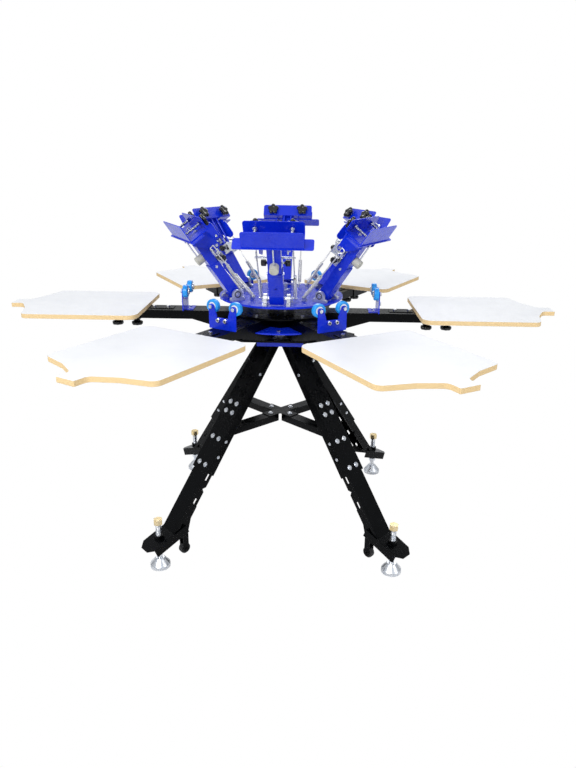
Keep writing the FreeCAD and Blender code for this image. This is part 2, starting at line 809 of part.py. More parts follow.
def make_casters():
    """Two forks behind the front legs, with a wheel in each just off the floor."""
    lean = tangent(s.leg_lean_angle)
    back = s.leg_deep / cosine(s.leg_lean_angle)

    def inner_edge(high):
        return leg_ring + (head_z - high) * lean - back

    inside = s.caster_half + s.caster_gap
    cheek = new_body("fork_cheeks")
    profile = new_sketch(cheek, "XZ_Plane")
    top_in, low_in = inner_edge(s.fork_top), inner_edge(s.fork_low)
    draw_outline(profile, [(top_in - s.head_wall, s.fork_top), (s.caster_ring - s.fork_half, s.fork_waist),
                           (s.caster_ring - s.fork_half, s.caster_high - s.fork_half,
                            s.fork_half - s.air_gap),
                           (s.caster_ring + s.fork_half, s.caster_high - s.fork_half,
                            s.fork_half - s.air_gap),
                           (s.caster_ring + s.fork_half, s.fork_waist), (low_in, s.fork_low),
                           (top_in, s.fork_top)])
    pad(cheek, profile, (inside + s.steel_thick) * 2, symmetric=True)
    gap = new_sketch(cheek, "XZ_Plane")
    draw_outline(gap, rectangle(zero, s.foot_ring, zero, s.fork_waist + s.steel_thick))
    pocket(cheek, gap, inside * 2, symmetric=True)
    axle = rod("caster_axle", s.caster_pin, (inside + s.steel_thick * 2) * 2, s.caster_ring,
               -inside - s.steel_thick * 2,
               s.caster_high, across)
    flange = box("fork_flange_bar", -s.leg_deep - s.steel_thick, -s.leg_deep, -s.lower_leg_half,
                 s.lower_leg_half,
                 -s.fork_flange_low, -s.fork_flange_high)
    fork = fuse("caster_fork", [cheek, axle, on_leg_line(group("fork_flange", [flange]))])
    front = leg_angles[2:]
    keep(ring_of("caster_fork_set", fork, front), "caster_forks")
    tyre = rod("caster_tyre", s.caster_radius, s.caster_half * 2, s.caster_ring, -s.caster_half,
               s.caster_high, across)
    bore = rod("caster_bore", s.caster_pin + s.fit_gap, s.caster_half * 4, s.caster_ring, -s.caster_half * 2,
               s.caster_high, across)
    wheel = cut("caster_wheel", tyre, [bore])
    for i, angle in enumerate(front, 1):
        keep(turned_copy(f"caster_wheel_copy_{i}", wheel, angle), f"caster_wheel_{i}")


def make_stand_bolts():
    """Bolt heads on the stand plate, the brace and the outside of the legs."""
    pieces = []
    spots = [(plate_bolt_out, s.plate_bolt_out_side), (plate_bolt_in, s.plate_bolt_in_side)]
    for x, y in spots:
        for side_x in (1, -1):
            for side_y in (1, -1):
                name = f"plate_bolt_{len(pieces)}"
                pieces.append(hexagon(name, s.bolt_head, s.bolt_head_tall, x * side_x, y * side_y,
                                      s.plate_top))
    brace_bolt = hexagon("brace_bolt", s.bolt_head, s.bolt_head_tall, s.brace_bolt_ring,
                         z=s.brace_top + s.steel_thick)
    web_bolts = []
    for i, place in enumerate((s.leg_bolt_place_first, s.leg_bolt_place_second, s.leg_bolt_place_third,
                               s.leg_bolt_place_last)):
        for side in (1, -1):
            name = f"leg_bolt_{i}_{side + 1}"
            web_bolts.append(hexagon(name, s.bolt_head, s.bolt_head_tall, zero, s.leg_bolt_side * side,
                                     -place, along))
    on_leg = on_leg_line(group("leg_bolts", web_bolts))
    for i, angle in enumerate(leg_angles, 1):
        pieces.append(turned_copy(f"brace_bolt_copy_{i}", brace_bolt, angle))
        pieces.append(turned_copy(f"leg_bolts_copy_{i}", on_leg, angle))
    keep(group("stand_bolt_set", pieces), "stand_bolts")


def make_lower_hub():
    """Six sided drum with the bearing housing below and a round cover on top."""
    drum = new_body("hub_drum")
    sketch = new_sketch(drum, "XY_Plane", arm_low)
    half_step = station_angle / 2
    corner = s.hub_flat / cosine(half_step)
    turns = [half_step + angle for angle in stations]
    draw_outline(sketch, [(corner * cosine(angle), corner * sine(angle)) for angle in turns])
    pad(drum, sketch, s.arm_tall)
    flange_top = s.plate_top + s.flange_thick
    housing = new_sketch(drum, "XY_Plane", arm_low)
    draw_circle(housing, s.housing_radius)
    pad(drum, housing, arm_low - flange_top - s.air_gap, backwards=True)
    bore = new_sketch(drum, "XY_Plane", arm_top + s.overrun)
    draw_circle(bore, s.spindle_radius + s.fit_gap)
    pocket(drum, bore, s.platen_top - s.plate_top)
    cover = cut("hub_cover", rod("cover_disc", s.cover_radius, s.cover_thick, z=arm_top),
                [rod("cover_bore", s.spindle_radius + s.air_gap, s.cover_thick * 3, z=arm_top - s.overrun)])
    keep(group("lower_hub_set", [drum, cover]), "lower_hub")

    disc = new_body("lower_disc_body")
    sketch = new_sketch(disc, "XY_Plane", arm_low - s.lower_disc_thick)
    draw_circle(sketch, s.lower_disc_radius)
    draw_circle(sketch, s.housing_radius)
    pad(disc, sketch, s.lower_disc_thick)
    keep(disc, "lower_disc")


def make_platen_arms():
    """Folded channels with a deep gusset towards the hub, slotted round the lower disc."""
    arm = new_body("platen_arm")
    side = new_sketch(arm, "XZ_Plane")
    bend, low = arm_low - s.gusset_bend_drop, arm_low - s.gusset_low_drop
    draw_outline(side,
                 [(s.gusset_start, low), (s.gusset_low, low), (s.gusset_bend, bend), (s.gusset_end, arm_low),
                  (s.arm_end, arm_low), (s.arm_end, arm_top), (s.gusset_start, arm_top)])
    pad(arm, side, s.arm_half * 2, symmetric=True)
    inside = new_sketch(arm, "XZ_Plane")
    draw_outline(inside, rectangle(zero, s.arm_end + s.overrun, zero, arm_top - s.steel_thick))
    pocket(arm, inside, (s.arm_half - s.steel_thick) * 2, symmetric=True)
    root = new_sketch(arm, "XZ_Plane")
    slot_low = arm_low - s.lower_disc_thick
    slot_end = s.lower_disc_radius + s.air_gap
    draw_outline(root, [(zero, slot_low), (slot_end, slot_low), (slot_end, arm_low), (s.hub_flat, arm_low),
                        (s.hub_flat, arm_top + s.overrun), (zero, arm_top + s.overrun)])
    pocket(arm, root, s.arm_half * 4, symmetric=True)
    keep(ring_of("platen_arm_set", arm, stations), "platen_arms")


def make_gates():
    """Roller gates: a notched plate on a foot, two rollers on bolts and two set screws."""
    gate = new_body("gate_plate")
    sketch = new_sketch(gate, "YZ_Plane", s.gate_ring)
    outer, inner = roller_side + s.gate_upright_half, roller_side - s.gate_upright_half
    top = roller_z + s.gate_upright_half
    notch, slant = arm_top + s.gate_notch, arm_top + s.gate_slant_start
    rounding = s.gate_upright_half - s.air_gap
    half = s.gate_notch_half
    draw_outline(sketch,
                 [(-outer, arm_top, s.gate_thick), (outer, arm_top, s.gate_thick), (outer, top, rounding),
                  (inner, top, rounding), (half, slant), (half, notch), (-half, notch), (-half, slant),
                  (-inner, top, rounding), (-outer, top, rounding)])
    for side in (1, -1):
        draw_circle(sketch, s.roller_pin, roller_side * side, roller_z)
    pad(gate, sketch, s.gate_thick)
    foot = new_sketch(gate, "XY_Plane", arm_top)
    foot_half = s.arm_half - s.gate_upright_half
    draw_outline(foot, rectangle(s.gate_ring - s.gate_foot, s.gate_ring, -foot_half, foot_half))
    pad(gate, foot, s.steel_thick)
    keep(ring_of("gate_bracket_set", gate, stations), "gate_brackets")

    back = s.gate_ring - s.roller_sink
    front = back - s.roller_wide
    wheel = new_body("gate_roller")
    round_face = new_sketch(wheel, "YZ_Plane", front)
    draw_circle(round_face, s.roller_radius)
    draw_circle(round_face, s.roller_pin + s.fit_gap)
    pad(wheel, round_face, s.roller_wide)
    dish = new_sketch(wheel, "YZ_Plane", back - s.roller_dish)
    draw_circle(dish, s.roller_face + s.roller_dish)
    pocket(wheel, dish, s.roller_wide, backwards=True)
    for name, side in (("left", 1), ("right", -1)):
        placed = put(group(f"gate_roller_{name}", [wheel]), y=roller_side * side, z=roller_z)
        for i, angle in enumerate(stations, 1):
            keep(turned_copy(f"roller_{name}_copy_{i}", placed, angle), f"roller_{name}_{i}")


def make_carousel_fittings():
    """Roller bolts, set screws, arm plates with their bolts and the cover bolts."""
    pieces = []
    head_x = s.gate_ring + s.gate_thick
    start = s.gate_ring - s.roller_wide - s.bolt_head_tall
    for side in (1, -1):
        y = roller_side * side
        shank = rod(f"roller_bolt_shank_{side + 1}", s.roller_pin, head_x - start, start, y, roller_z, along)
        head = hexagon(f"roller_bolt_head_{side + 1}", s.bolt_head, s.bolt_head_tall, head_x, y, roller_z,
                       along)
        washer = rod(f"roller_washer_{side + 1}", s.roller_face, s.steel_thick, start, y, roller_z, along)
        pieces.append(fuse(f"roller_bolt_{side + 1}", [shank, head, washer]))
        y = s.gate_screw_half * side
        high = arm_top + s.gate_screw_high
        pieces.append(hexagon(f"gate_screw_{side + 1}", s.bolt_head, s.gate_screw_out, head_x, y, high,
                              along))
    plate = box("arm_plate", fitting_start, fitting_end, -s.fitting_half, s.fitting_half, arm_top,
                arm_top + s.steel_thick)
    pieces.append(plate)
    for i, x in enumerate((fitting_bolt_inner, fitting_bolt_outer)):
        pieces.append(hexagon(f"arm_bolt_{i}", s.bolt_head, s.bolt_head_tall, x, z=arm_top + s.steel_thick))
    for side in (1, -1):
        y = s.gate_screw_half * side
        x = s.gate_ring - s.gate_foot / 2
        pieces.append(hexagon(f"gate_foot_bolt_{side + 1}", s.small_head, s.small_head_tall, x, y,
                              arm_top + s.steel_thick))
    pieces.append(hexagon("cover_bolt", s.bolt_head, s.bolt_head_tall, cover_bolt_ring, z=cover_top))
    one = group("station_fittings", pieces)
    between = hexagon("disc_bolt", s.bolt_head, s.bolt_head_tall, disc_bolt_ring, z=arm_low)
    pairs = []
    for i, angle in enumerate(stations, 1):
        pairs.append(turned_copy(f"fittings_copy_{i}", one, angle))
        pairs.append(turned_copy(f"disc_bolt_copy_{i}", between, angle + station_angle / 2))
    keep(group("carousel_fitting_set", pairs), "carousel_fittings")


def make_platen_brackets():
    """Channels under the platens that hug the arms, each with two hand knobs below."""
    inner = s.arm_half + s.air_gap
    low = arm_low - s.air_gap - s.bracket_web
    hug = new_body("slide_channel")
    side = new_sketch(hug, "XZ_Plane")
    draw_outline(side, rectangle(bracket_start, bracket_end, low, arm_top))
    pad(hug, side, (inner + s.steel_thick) * 2, symmetric=True)
    inside = new_sketch(hug, "XZ_Plane")
    draw_outline(inside, rectangle(bracket_start - s.overrun, bracket_end + s.overrun,
                                   low + s.bracket_web, arm_top + s.overrun))
    pocket(hug, inside, inner * 2, symmetric=True)
    lips = new_sketch(hug, "XY_Plane", arm_top)
    edge = inner + s.steel_thick
    for side_y in (1, -1):
        start, end = edge * side_y, (edge + s.bracket_lip) * side_y
        first, last = (start, end) if side_y > 0 else (end, start)
        draw_outline(lips, rectangle(bracket_start, bracket_end, first, last))
    pad(hug, lips, s.steel_thick, backwards=True)
    holes = new_sketch(hug, "XY_Plane", low - s.overrun)
    knobs = []
    foot, grip_top = low - s.knob_tall, low - s.knob_tall + s.knob_grip_tall
    for i, x in enumerate((knob_inner, knob_outer)):
        draw_circle(holes, s.knob_screw_radius, x)
        body = new_body(f"slide_knob_{i}")
        grip = s.knob_grip_half
        revolve(body, [(zero, foot), (grip, foot), (grip, grip_top),
                       (s.knob_neck_radius, grip_top + s.knob_flare_tall),
                       (s.knob_neck_radius, low), (s.knob_screw_radius, low),
                       (s.knob_screw_radius, arm_top - s.steel_thick),
                       (zero, arm_top - s.steel_thick)])
        knobs.append(put(body, x=x))
    pocket(hug, holes, s.bracket_web + s.overrun * 2, backwards=True)
    keep(ring_of("platen_bracket_set", group("bracket_and_knobs", [hug] + knobs), stations),
         "platen_brackets")


def make_platens():
    """Laminated boards with a rounded inner end and a tongue at the printer's end."""
    board = new_body("platen_board")
    sketch = new_sketch(board, "XY_Plane", arm_top)
    upper = [(s.board_straight, s.board_half, s.shoulder_round),
             (s.shoulder_start, s.shoulder_half, s.tongue_round),
             (s.tongue_root, s.tongue_half, s.tongue_round), (s.tongue_tip, s.tongue_half, s.steel_thick)]
    lower = [(corner[0], -corner[1]) + corner[2:] for corner in upper]
    draw_outline(sketch, [(board_start, -s.board_half, s.board_round)] + lower + upper[::-1]
                 + [(board_start, s.board_half, s.board_round)])
    pad(board, sketch, s.board_thick)
    for i, angle in enumerate(stations, 1):
        keep(turned_copy(f"platen_copy_{i}", board, angle), f"platen_{i}")


def make_upper_carousel():
    """Hub, disc, pillow blocks and the anchors that hold the springs."""
    hub = cut("upper_hub_bored",
              rod("upper_hub_bar", s.upper_hub_radius, disc_low - upper_hub_low, z=upper_hub_low),
              [rod("upper_hub_bore", s.spindle_radius + s.fit_gap, s.platen_top,
                   z=upper_hub_low - s.overrun)])
    keep(hub, "upper_hub")
    disc = new_body("upper_disc_body")
    sketch = new_sketch(disc, "XY_Plane", disc_low)
    draw_circle(sketch, s.upper_disc_radius)
    draw_circle(sketch, s.spindle_radius + s.air_gap)
    pad(disc, sketch, s.upper_disc_thick)
    keep(disc, "upper_disc")

    block = new_body("pillow_block")
    sketch = new_sketch(block, "XZ_Plane")
    foot, half = s.block_foot_half, s.block_half
    top = s.hinge_high + half
    draw_outline(sketch, [(-foot, zero), (foot, zero), (foot, s.block_foot_tall), (half, s.block_shoulder),
                          (half, top, s.block_round), (-half, top, s.block_round), (-half, s.block_shoulder),
                          (-foot, s.block_foot_tall)])
    draw_circle(sketch, s.hinge_radius + s.fit_gap, y=s.hinge_high)
    pad(block, sketch, s.block_thick)
    eye = new_sketch(block, "XZ_Plane", s.block_thick - s.block_eye_deep)
    draw_circle(eye, s.block_eye, y=s.hinge_high)
    pocket(block, eye, s.block_thick, backwards=True)
    bolts = []
    for side in (1, -1):
        x = s.block_bolt_out * side
        bolts.append(hexagon(f"block_bolt_{side + 1}", s.small_head, s.small_head_tall, x, -s.block_thick / 2,
                             s.block_foot_tall))
    block_set = group("block_and_bolts", [block] + bolts)
    near = put(group("block_near", [block_set]), hinge_ring, -s.block_inner, s.upper_disc_top)
    far_copy = turned_copy("block_far_copy", block_set, s.half_turn_angle)
    far = put(group("block_far", [far_copy]), hinge_ring, s.block_inner, s.upper_disc_top)

    anchors = []
    for side in (1, -1):
        name = "near" if side < 0 else "far"
        plate = new_body(f"anchor_plate_{name}")
        sketch = new_sketch(plate, "XZ_Plane")
        half = s.anchor_plate_half
        top = s.anchor_high + s.anchor_plate_round
        draw_outline(sketch, [(-half, zero), (half, zero),
                              (s.anchor_plate_round, top, s.anchor_plate_round - s.air_gap),
                              (-s.anchor_plate_round, top, s.anchor_plate_round - s.air_gap)])
        pad(plate, sketch, s.anchor_plate)
        clear = s.spring_half - s.coil_radius - s.anchor_plate * side / 2 - s.anchor_plate / 2
        put(plate, anchor_ring, clear * side, s.upper_disc_top)
        start = s.spring_half - s.coil_radius - s.anchor_plate
        pin_y = start if side > 0 else -s.anchor_pin_end
        pin = rod(f"anchor_pin_{name}", s.anchor_pin, s.anchor_pin_end - start, anchor_ring, pin_y,
                  s.upper_disc_top + s.anchor_high, across)
        anchors.append(fuse(f"anchor_{name}", [plate, pin]))
    keep(ring_of("bearing_block_set", group("head_bearings", [near, far]), heads), "bearing_blocks")
    keep(ring_of("spring_anchor_set", group("head_anchors", anchors), heads), "spring_anchors")


def square_tube(name, start, end, half, rise):
    """A rectangular tube along X about the X axis."""
    body = new_body(name)
    outer = new_sketch(body, "YZ_Plane", start)
    draw_outline(outer, rectangle(-half, half, -rise, rise))
    wall = s.tube_wall
    draw_outline(outer, rectangle(wall - half, half - wall, wall - rise, rise - wall))
    pad(body, outer, end - start)
    return body


def make_head_arm():
    """Telescoping arm on its hinge shaft, drawn level, with the hinge axis as origin."""
    lower = square_tube("arm_lower_tube", -s.lower_tube_rear, s.lower_tube_end, lower_tube_half,
                        lower_tube_rise)
    holes = new_sketch(lower, "XZ_Plane")
    draw_circle(holes, s.hinge_radius)
    draw_circle(holes, s.cross_pin, s.cross_pin_place)
    pocket(lower, holes, lower_tube_half * 4, symmetric=True)
    face_hole = new_sketch(lower, "XY_Plane", -lower_tube_rise - s.overrun)
    draw_circle(face_hole, s.tube_hole, s.tube_hole_place)
    pocket(lower, face_hole, s.tube_wall + s.overrun * 2, backwards=True)
    upper = square_tube("arm_upper_tube", s.upper_tube_start, s.clamp_back, s.upper_tube_half,
                        s.upper_tube_rise)
    pin_hole = new_sketch(upper, "XZ_Plane")
    draw_circle(pin_hole, s.cross_pin, s.cross_pin_place)
    pocket(upper, pin_hole, lower_tube_half * 4, symmetric=True)
    shaft = rod("hinge_shaft", s.hinge_radius, s.hinge_half * 2, y=-s.hinge_half, way=across)
    pin = rod("arm_cross_pin", s.cross_pin, s.cross_pin_half * 2, s.cross_pin_place, -s.cross_pin_half,
              way=across)
    return [lower, upper, shaft, pin]


def make_clamp():
    """Folded screen clamp with two jaws and a rounded free corner at each end."""
    clamp = new_body("screen_clamp")
    profile = new_sketch(clamp, "XZ_Plane")
    back, tip, lip, rise = s.clamp_back, s.clamp_tip, s.clamp_lip, s.clamp_rise
    outer = rise + s.steel_thick
    inside = back + s.steel_thick
    draw_outline(profile, [(back, -outer), (tip, -outer), (tip, -rise), (inside, -rise), (inside, rise),
                           (lip, rise), (lip, outer), (back, outer)])
    pad(clamp, profile, s.clamp_half * 2, symmetric=True)
    chamfer = s.clamp_round * s.clamp_round_share
    for end, upper_jaw in ((tip, False), (lip, True)):
        corners = new_sketch(clamp, "XY_Plane")
        past_end, start = end + s.overrun, end - s.clamp_round
        for side in (1, -1):
            edge, past = s.clamp_half * side, (s.clamp_half + s.overrun) * side
            inner = (s.clamp_half - s.clamp_round) * side
            cut_corner = [(start, past), (past_end, past), (past_end, inner), (end, inner),
                          (end - chamfer, edge - chamfer * side), (start, edge)]
            draw_outline(corners, cut_corner if side < 0 else cut_corner[::-1])
        pocket(clamp, corners, outer * 2, backwards=upper_jaw)
    screw_holes = new_sketch(clamp, "XY_Plane")
    for side in (1, -1):
        draw_circle(screw_holes, s.screw_radius + s.fit_gap, s.screw_place, s.screw_half * side)
    pocket(clamp, screw_holes, outer * 2, backwards=True)
    return [clamp]


def make_registration():
    """Side cheeks, the wing plate behind the clamp, and the block with its knobs and rods."""
    cheeks = new_body("registration_cheeks")
    profile = new_sketch(cheeks, "XZ_Plane")
    eye, rise, edge = s.cheek_eye_place, s.cheek_eye_rise, s.cheek_eye_round
    end = s.clamp_back - s.steel_thick
    heel = s.cheek_heel
    draw_outline(profile,
                 [(eye - edge, rise - edge, edge - s.air_gap), (end - heel, -heel), (end, -heel), (end, heel),
                  (end - heel, rise + edge / 2), (eye - edge, rise + edge, edge - s.air_gap)])
    outer = s.cheek_inner + s.steel_thick
    pad(cheeks, profile, outer * 2, symmetric=True)
    between = new_sketch(cheeks, "XZ_Plane")
    draw_outline(between, rectangle(zero, s.clamp_tip, -s.wing_half, s.wing_half))
    pocket(cheeks, between, s.cheek_inner * 2, symmetric=True)
    return [fuse("registration_frame", [cheeks, make_wing(end)])] + make_registration_block()


def make_wing(end):
    """The wide plate behind the clamp, notched for the arm."""
    wing = new_body("registration_wing")
    plate = new_sketch(wing, "YZ_Plane", end)
    half, low, high = s.wing_half, -s.wing_low, s.wing_rise
    notch, floor = s.upper_tube_half, -s.upper_tube_rise
    draw_outline(plate, [(-half, low, s.clamp_round), (half, low, s.clamp_round), (half, high, s.clamp_round),
                         (notch, high), (notch, floor), (-notch, floor), (-notch, high),
                         (-half, high, s.clamp_round)])
    pad(wing, plate, s.steel_thick)
    return wing


def make_registration_block():
    block = box("registration_block", s.block_start, s.block_end, -s.block_side, s.block_side,
                lower_tube_rise,
                s.block_rise)
    pieces = [block]
    for side in (1, -1):
        stem_y = s.block_side if side > 0 else -s.side_knob_start
        knob_y = s.side_knob_start if side > 0 else -s.side_knob_end
        x, z = s.side_knob_place, s.side_knob_rise
        stem = rod(f"side_stem_{side + 1}", s.side_knob_stem, s.side_knob_start - s.block_side, x, stem_y, z,
                   across)
        knob = rod(f"side_knob_{side + 1}", s.side_knob_radius, s.side_knob_end - s.side_knob_start, x,
                   knob_y, z, across)
        tie_rod = rod(f"tie_rod_{side + 1}", s.tie_radius, s.clamp_back - s.block_end, s.block_end,
                      s.tie_half * side,
                      s.tie_rise, along)
        eye_y = s.cheek_inner + s.steel_thick if side > 0 else -s.cheek_inner - s.steel_thick - s.eye_bolt_head
        eye_bolt = hexagon(f"eye_bolt_{side + 1}", s.eye_bolt_radius, s.eye_bolt_head, s.cheek_eye_place,
                           eye_y,
                           s.cheek_eye_rise, across)
        pieces += [fuse(f"side_handle_{side + 1}", [stem, knob]), tie_rod, eye_bolt]
    return pieces


def make_stops():
    """Rubber bumper that lands on the gate, the rod beside it, and the spring saddle."""
    low = arm_top + s.gate_notch + s.air_gap - hinge_z
    bumper = rod("bumper", s.bumper_radius, -s.upper_tube_rise - low, bumper_place, z=low)
    start = bumper_place + s.bumper_radius
    under = rod("under_rod", s.under_rod_radius, s.clamp_back - s.steel_thick - start, start,
                z=-s.under_rod_drop, way=along)
    saddle = cut("saddle", box("saddle_bar", s.saddle_start, s.saddle_end, -s.saddle_half, s.saddle_half,
                               s.upper_tube_rise, s.saddle_rise),
                 [rod("saddle_bore", s.spring_pin, s.spring_pin_half * 2, spring_pin_place,
                      -s.spring_pin_half,
                      s.spring_pin_rise, across)])
    pin = rod("spring_cross_pin", s.spring_pin, s.spring_pin_half * 2, spring_pin_place, -s.spring_pin_half,
              s.spring_pin_rise, across)
    return [bumper, under, saddle, pin]


def at_hinge(name, pieces):
    """Raise head pieces about the hinge and set them at the hinge ring."""
    return put(group(name, pieces), hinge_ring, zero, hinge_z, across, -s.raised_angle)


def make_heads():
    arm = at_hinge("raised_head", make_head_arm() + make_clamp() + make_registration() + make_stops())
    for i, angle in enumerate(heads, 1):
        keep(turned_copy(f"head_arm_copy_{i}", arm, angle), f"head_arm_{i}")


def make_clamp_screws():
    """Two screws with five lobed knobs, which press the screen frame on the lower jaw."""
    star = new_body("clamp_knob")
    low = s.clamp_rise + s.steel_thick + s.knob_lift
    sketch = new_sketch(star, "XY_Plane", low + s.star_skirt)
    corners = []
    lobe = s.half_turn_angle / s.lobe_count
    for i in range(values["lobe_count"] * 2):
        radius, rounding = (s.star_outer, s.star_round) if i % 2 == 0 else (s.star_inner, s.star_valley)
        angle = lobe * i
        corners.append((radius * cosine(angle), radius * sine(angle), rounding))
    draw_outline(sketch, corners)
    pad(star, sketch, s.star_tall)
    boss = new_sketch(star, "XY_Plane", low)
    draw_circle(boss, s.star_boss)
    pad(star, boss, s.star_boss)
    foot_low = s.screw_foot_gap - s.clamp_rise
    stem = rod("clamp_stem", s.screw_radius, low - foot_low, z=foot_low)
    shoe = rod("clamp_shoe", s.screw_foot_radius, s.screw_foot_thick, z=foot_low)
    screw = fuse("clamp_screw_steel", [stem, shoe])
    one = group("clamp_screw", [star, screw])
    pair = []
    for side in (1, -1):
        copy = turned_copy(f"clamp_screw_side_{side + 1}", one, zero)
        pair.append(put(copy, s.screw_place, s.screw_half * side))
    raised = at_hinge("raised_screws", pair)
    for i, angle in enumerate(heads, 1):
        keep(turned_copy(f"clamp_screws_copy_{i}", raised, angle), f"clamp_screws_{i}")


def make_springs():
    """Tension springs from the disc to the cross pin, each ending in a long eye."""
    sin_raised, cos_raised = sine(s.raised_angle), cosine(s.raised_angle)
    run = hinge_ring + spring_pin_place * cos_raised - s.spring_pin_rise * sin_raised - anchor_ring
    rise = s.hinge_high + spring_pin_place * sin_raised + s.spring_pin_rise * cos_raised - s.anchor_high
    level_run = hinge_ring + spring_pin_place - anchor_ring
    level_rise = s.hinge_high + s.spring_pin_rise - s.anchor_high
    raised_long, level_long = reach(run, rise), reach(level_run, level_rise)
    eye_half = s.spring_pin + s.eye_play
    inner_start = raised_long - s.spring_pin - s.eye_play
    inner_end = level_long + s.spring_pin + s.eye_play

    body = new_body("spring_body")
    lower = new_sketch(body, "XZ_Plane")
    draw_circle(lower, s.lower_eye)
    draw_circle(lower, s.anchor_pin + s.fit_gap)
    pad(body, lower, s.eye_wire, symmetric=True)
    outer = eye_half + s.eye_wire
    loop = new_body("spring_loop")
    eye = new_sketch(loop, "XZ_Plane")
    draw_outline(eye, [(inner_start - s.eye_wire, -outer, outer - s.air_gap),
                       (inner_end + s.eye_wire, -outer, outer - s.air_gap),
                       (inner_end + s.eye_wire, outer, outer - s.air_gap),
                       (inner_start - s.eye_wire, outer, outer - s.air_gap)])
    draw_outline(eye, [(inner_start, -eye_half, eye_half - s.air_gap),
                       (inner_end, -eye_half, eye_half - s.air_gap),
                       (inner_end, eye_half, eye_half - s.air_gap),
                       (inner_start, eye_half, eye_half - s.air_gap)])
    pad(loop, eye, s.eye_wire, symmetric=True)
    neck = rod("spring_neck", s.hook_rod, s.coil_start - s.lower_eye + s.hook_rod,
               s.lower_eye - s.hook_rod / 2, way=along)
    coil = rod("spring_coil", s.coil_radius, s.coil_end - s.coil_start, s.coil_start, way=along)
    hook = rod("spring_hook_rod", s.hook_rod, inner_start - s.coil_end, s.coil_end, way=along)
    spring = fuse("tension_spring", [body, neck, coil, hook, loop])
    pair = []
    for side in (1, -1):
        copy = turned_copy(f"spring_side_{side + 1}", spring, zero)
        pair.append(put(copy, y=s.spring_half * side))
    raised = put(group("raised_springs", pair), anchor_ring, zero, s.upper_disc_top + s.anchor_high, across,
                 -slope(run, rise))
    for i, angle in enumerate(heads, 1):
        keep(turned_copy(f"springs_copy_{i}", raised, angle), f"springs_{i}")
    turn = slope(run, rise).value - slope(level_run, level_rise).value
    print("spring turns", round(turn, 3), "degrees while the head turns", s.raised_angle.value)
    print("spring length", round(raised_long.value, 2), "raised,", round(level_long.value, 2), "level")


make_spindle()
make_stand_head()
make_legs()
make_leveling_feet()
make_brace()
make_casters()
make_stand_bolts()
make_lower_hub()
make_platen_arms()
make_gates()
make_carousel_fittings()
make_platen_brackets()
make_platens()
make_upper_carousel()
make_heads()
make_clamp_screws()
make_springs()
doc.recompute()

for thing in doc.Objects:
    if "Invalid" in thing.State or "Error" in thing.State:
        raise RuntimeError(f"{thing.Label} failed: {thing.State}")
shapes = {}
for node in nodes:
    shape = Part.getShape(node)
    if shape.isNull() or not shape.isValid() or not shape.Solids:
        raise RuntimeError(f"{node.Label} has no valid solid")
    shapes[node.Label] = shape
for name, shape in shapes.items():
    shape.exportStep(f"parts/{name}.step")
print(len(shapes), "nodes,", sum(len(shape.Solids) for shape in shapes.values()), "solids")
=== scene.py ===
import math

import bmesh
import bpy
from mathutils import Matrix, Vector


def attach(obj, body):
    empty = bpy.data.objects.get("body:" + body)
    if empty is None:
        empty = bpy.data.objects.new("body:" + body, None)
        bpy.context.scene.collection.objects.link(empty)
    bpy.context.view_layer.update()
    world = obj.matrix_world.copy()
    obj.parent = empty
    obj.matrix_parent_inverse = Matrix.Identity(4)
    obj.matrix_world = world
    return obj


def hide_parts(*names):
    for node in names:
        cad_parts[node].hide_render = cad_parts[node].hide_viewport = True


# Floor standing screen printing press: six platens, six sprung heads, painted steel stand.

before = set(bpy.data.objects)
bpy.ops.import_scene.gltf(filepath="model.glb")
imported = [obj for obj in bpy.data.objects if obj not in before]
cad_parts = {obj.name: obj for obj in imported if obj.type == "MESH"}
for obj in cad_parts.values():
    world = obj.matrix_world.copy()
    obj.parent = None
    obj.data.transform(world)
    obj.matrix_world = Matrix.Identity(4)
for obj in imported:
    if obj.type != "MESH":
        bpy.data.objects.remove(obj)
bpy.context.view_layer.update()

MM = 0.001
STATIONS = [60 * i for i in range(6)]
HEADS = [60 * i - 92 for i in range(6)]
LEGS = [43, 137, 223, -43]
RAISED = 55
LEG_LEAN = 36.2
LEG_TOP = (91, 0, 815)
HINGE = (210, 0, 1036)
ANCHOR = (150, 0, 1026)
PLATEN_TOP = 965 * MM
PLATEN_LOW = 947 * MM

# Places in millimetres
STAND_TOP = 850
BRACE_TOP = 503
LEVEL_RING = 622.6
CASTER_RING, CASTER_HIGH = 510, 35
LEG_BOLTS = (268, 308, 424, 538)
FLANGE_BOLTS = (120, 422, 490)
SLIDE_KNOBS, SLIDE_KNOB_TOP = (598, 679), 904.7
GATE_FACE, GATE_SCREW_SIDE, GATE_SCREW_HIGH = 404.9, 16, 981
ROLLER_START, ROLLER_SIDE, ROLLER_HIGH = 371, 50, 1027
SEAL_SIDE = 49.6
SIDE_KNOB_PLACE, SIDE_KNOB_RISE = 150, 36
SCREW_PLACE, SCREW_SIDE = 311, 64
CLAMP_KNOB_RISE = 44
SPRING_SIDE = 66
SPRING_PIN_PLACE, SPRING_PIN_RISE = 188, 23.5
ANCHOR_BEHIND, ANCHOR_BELOW = 60, 10
SPRING_LEVEL_LONG = 250.25
COIL_START, COIL_LONG = 12, 104


def turn(azimuth):
    """Rotation about the spindle."""
    return Matrix.Rotation(math.radians(azimuth), 4, "Z")


def move(x, y, z):
    """Translation in millimetres."""
    return Matrix.Translation(Vector((x, y, z)) * MM)


def lift(angle):
    """Rotation that raises +X towards +Z."""
    return Matrix.Rotation(math.radians(-angle), 4, "Y")


def head_frame(azimuth):
    """From a level head, with its hinge at the origin, to its place at rest."""
    return turn(azimuth) @ move(*HINGE) @ lift(RAISED)


def leg_frame(azimuth):
    """From an upright leg, with its top at the origin, to its place in the stand."""
    return turn(azimuth) @ move(*LEG_TOP) @ lift(LEG_LEAN)


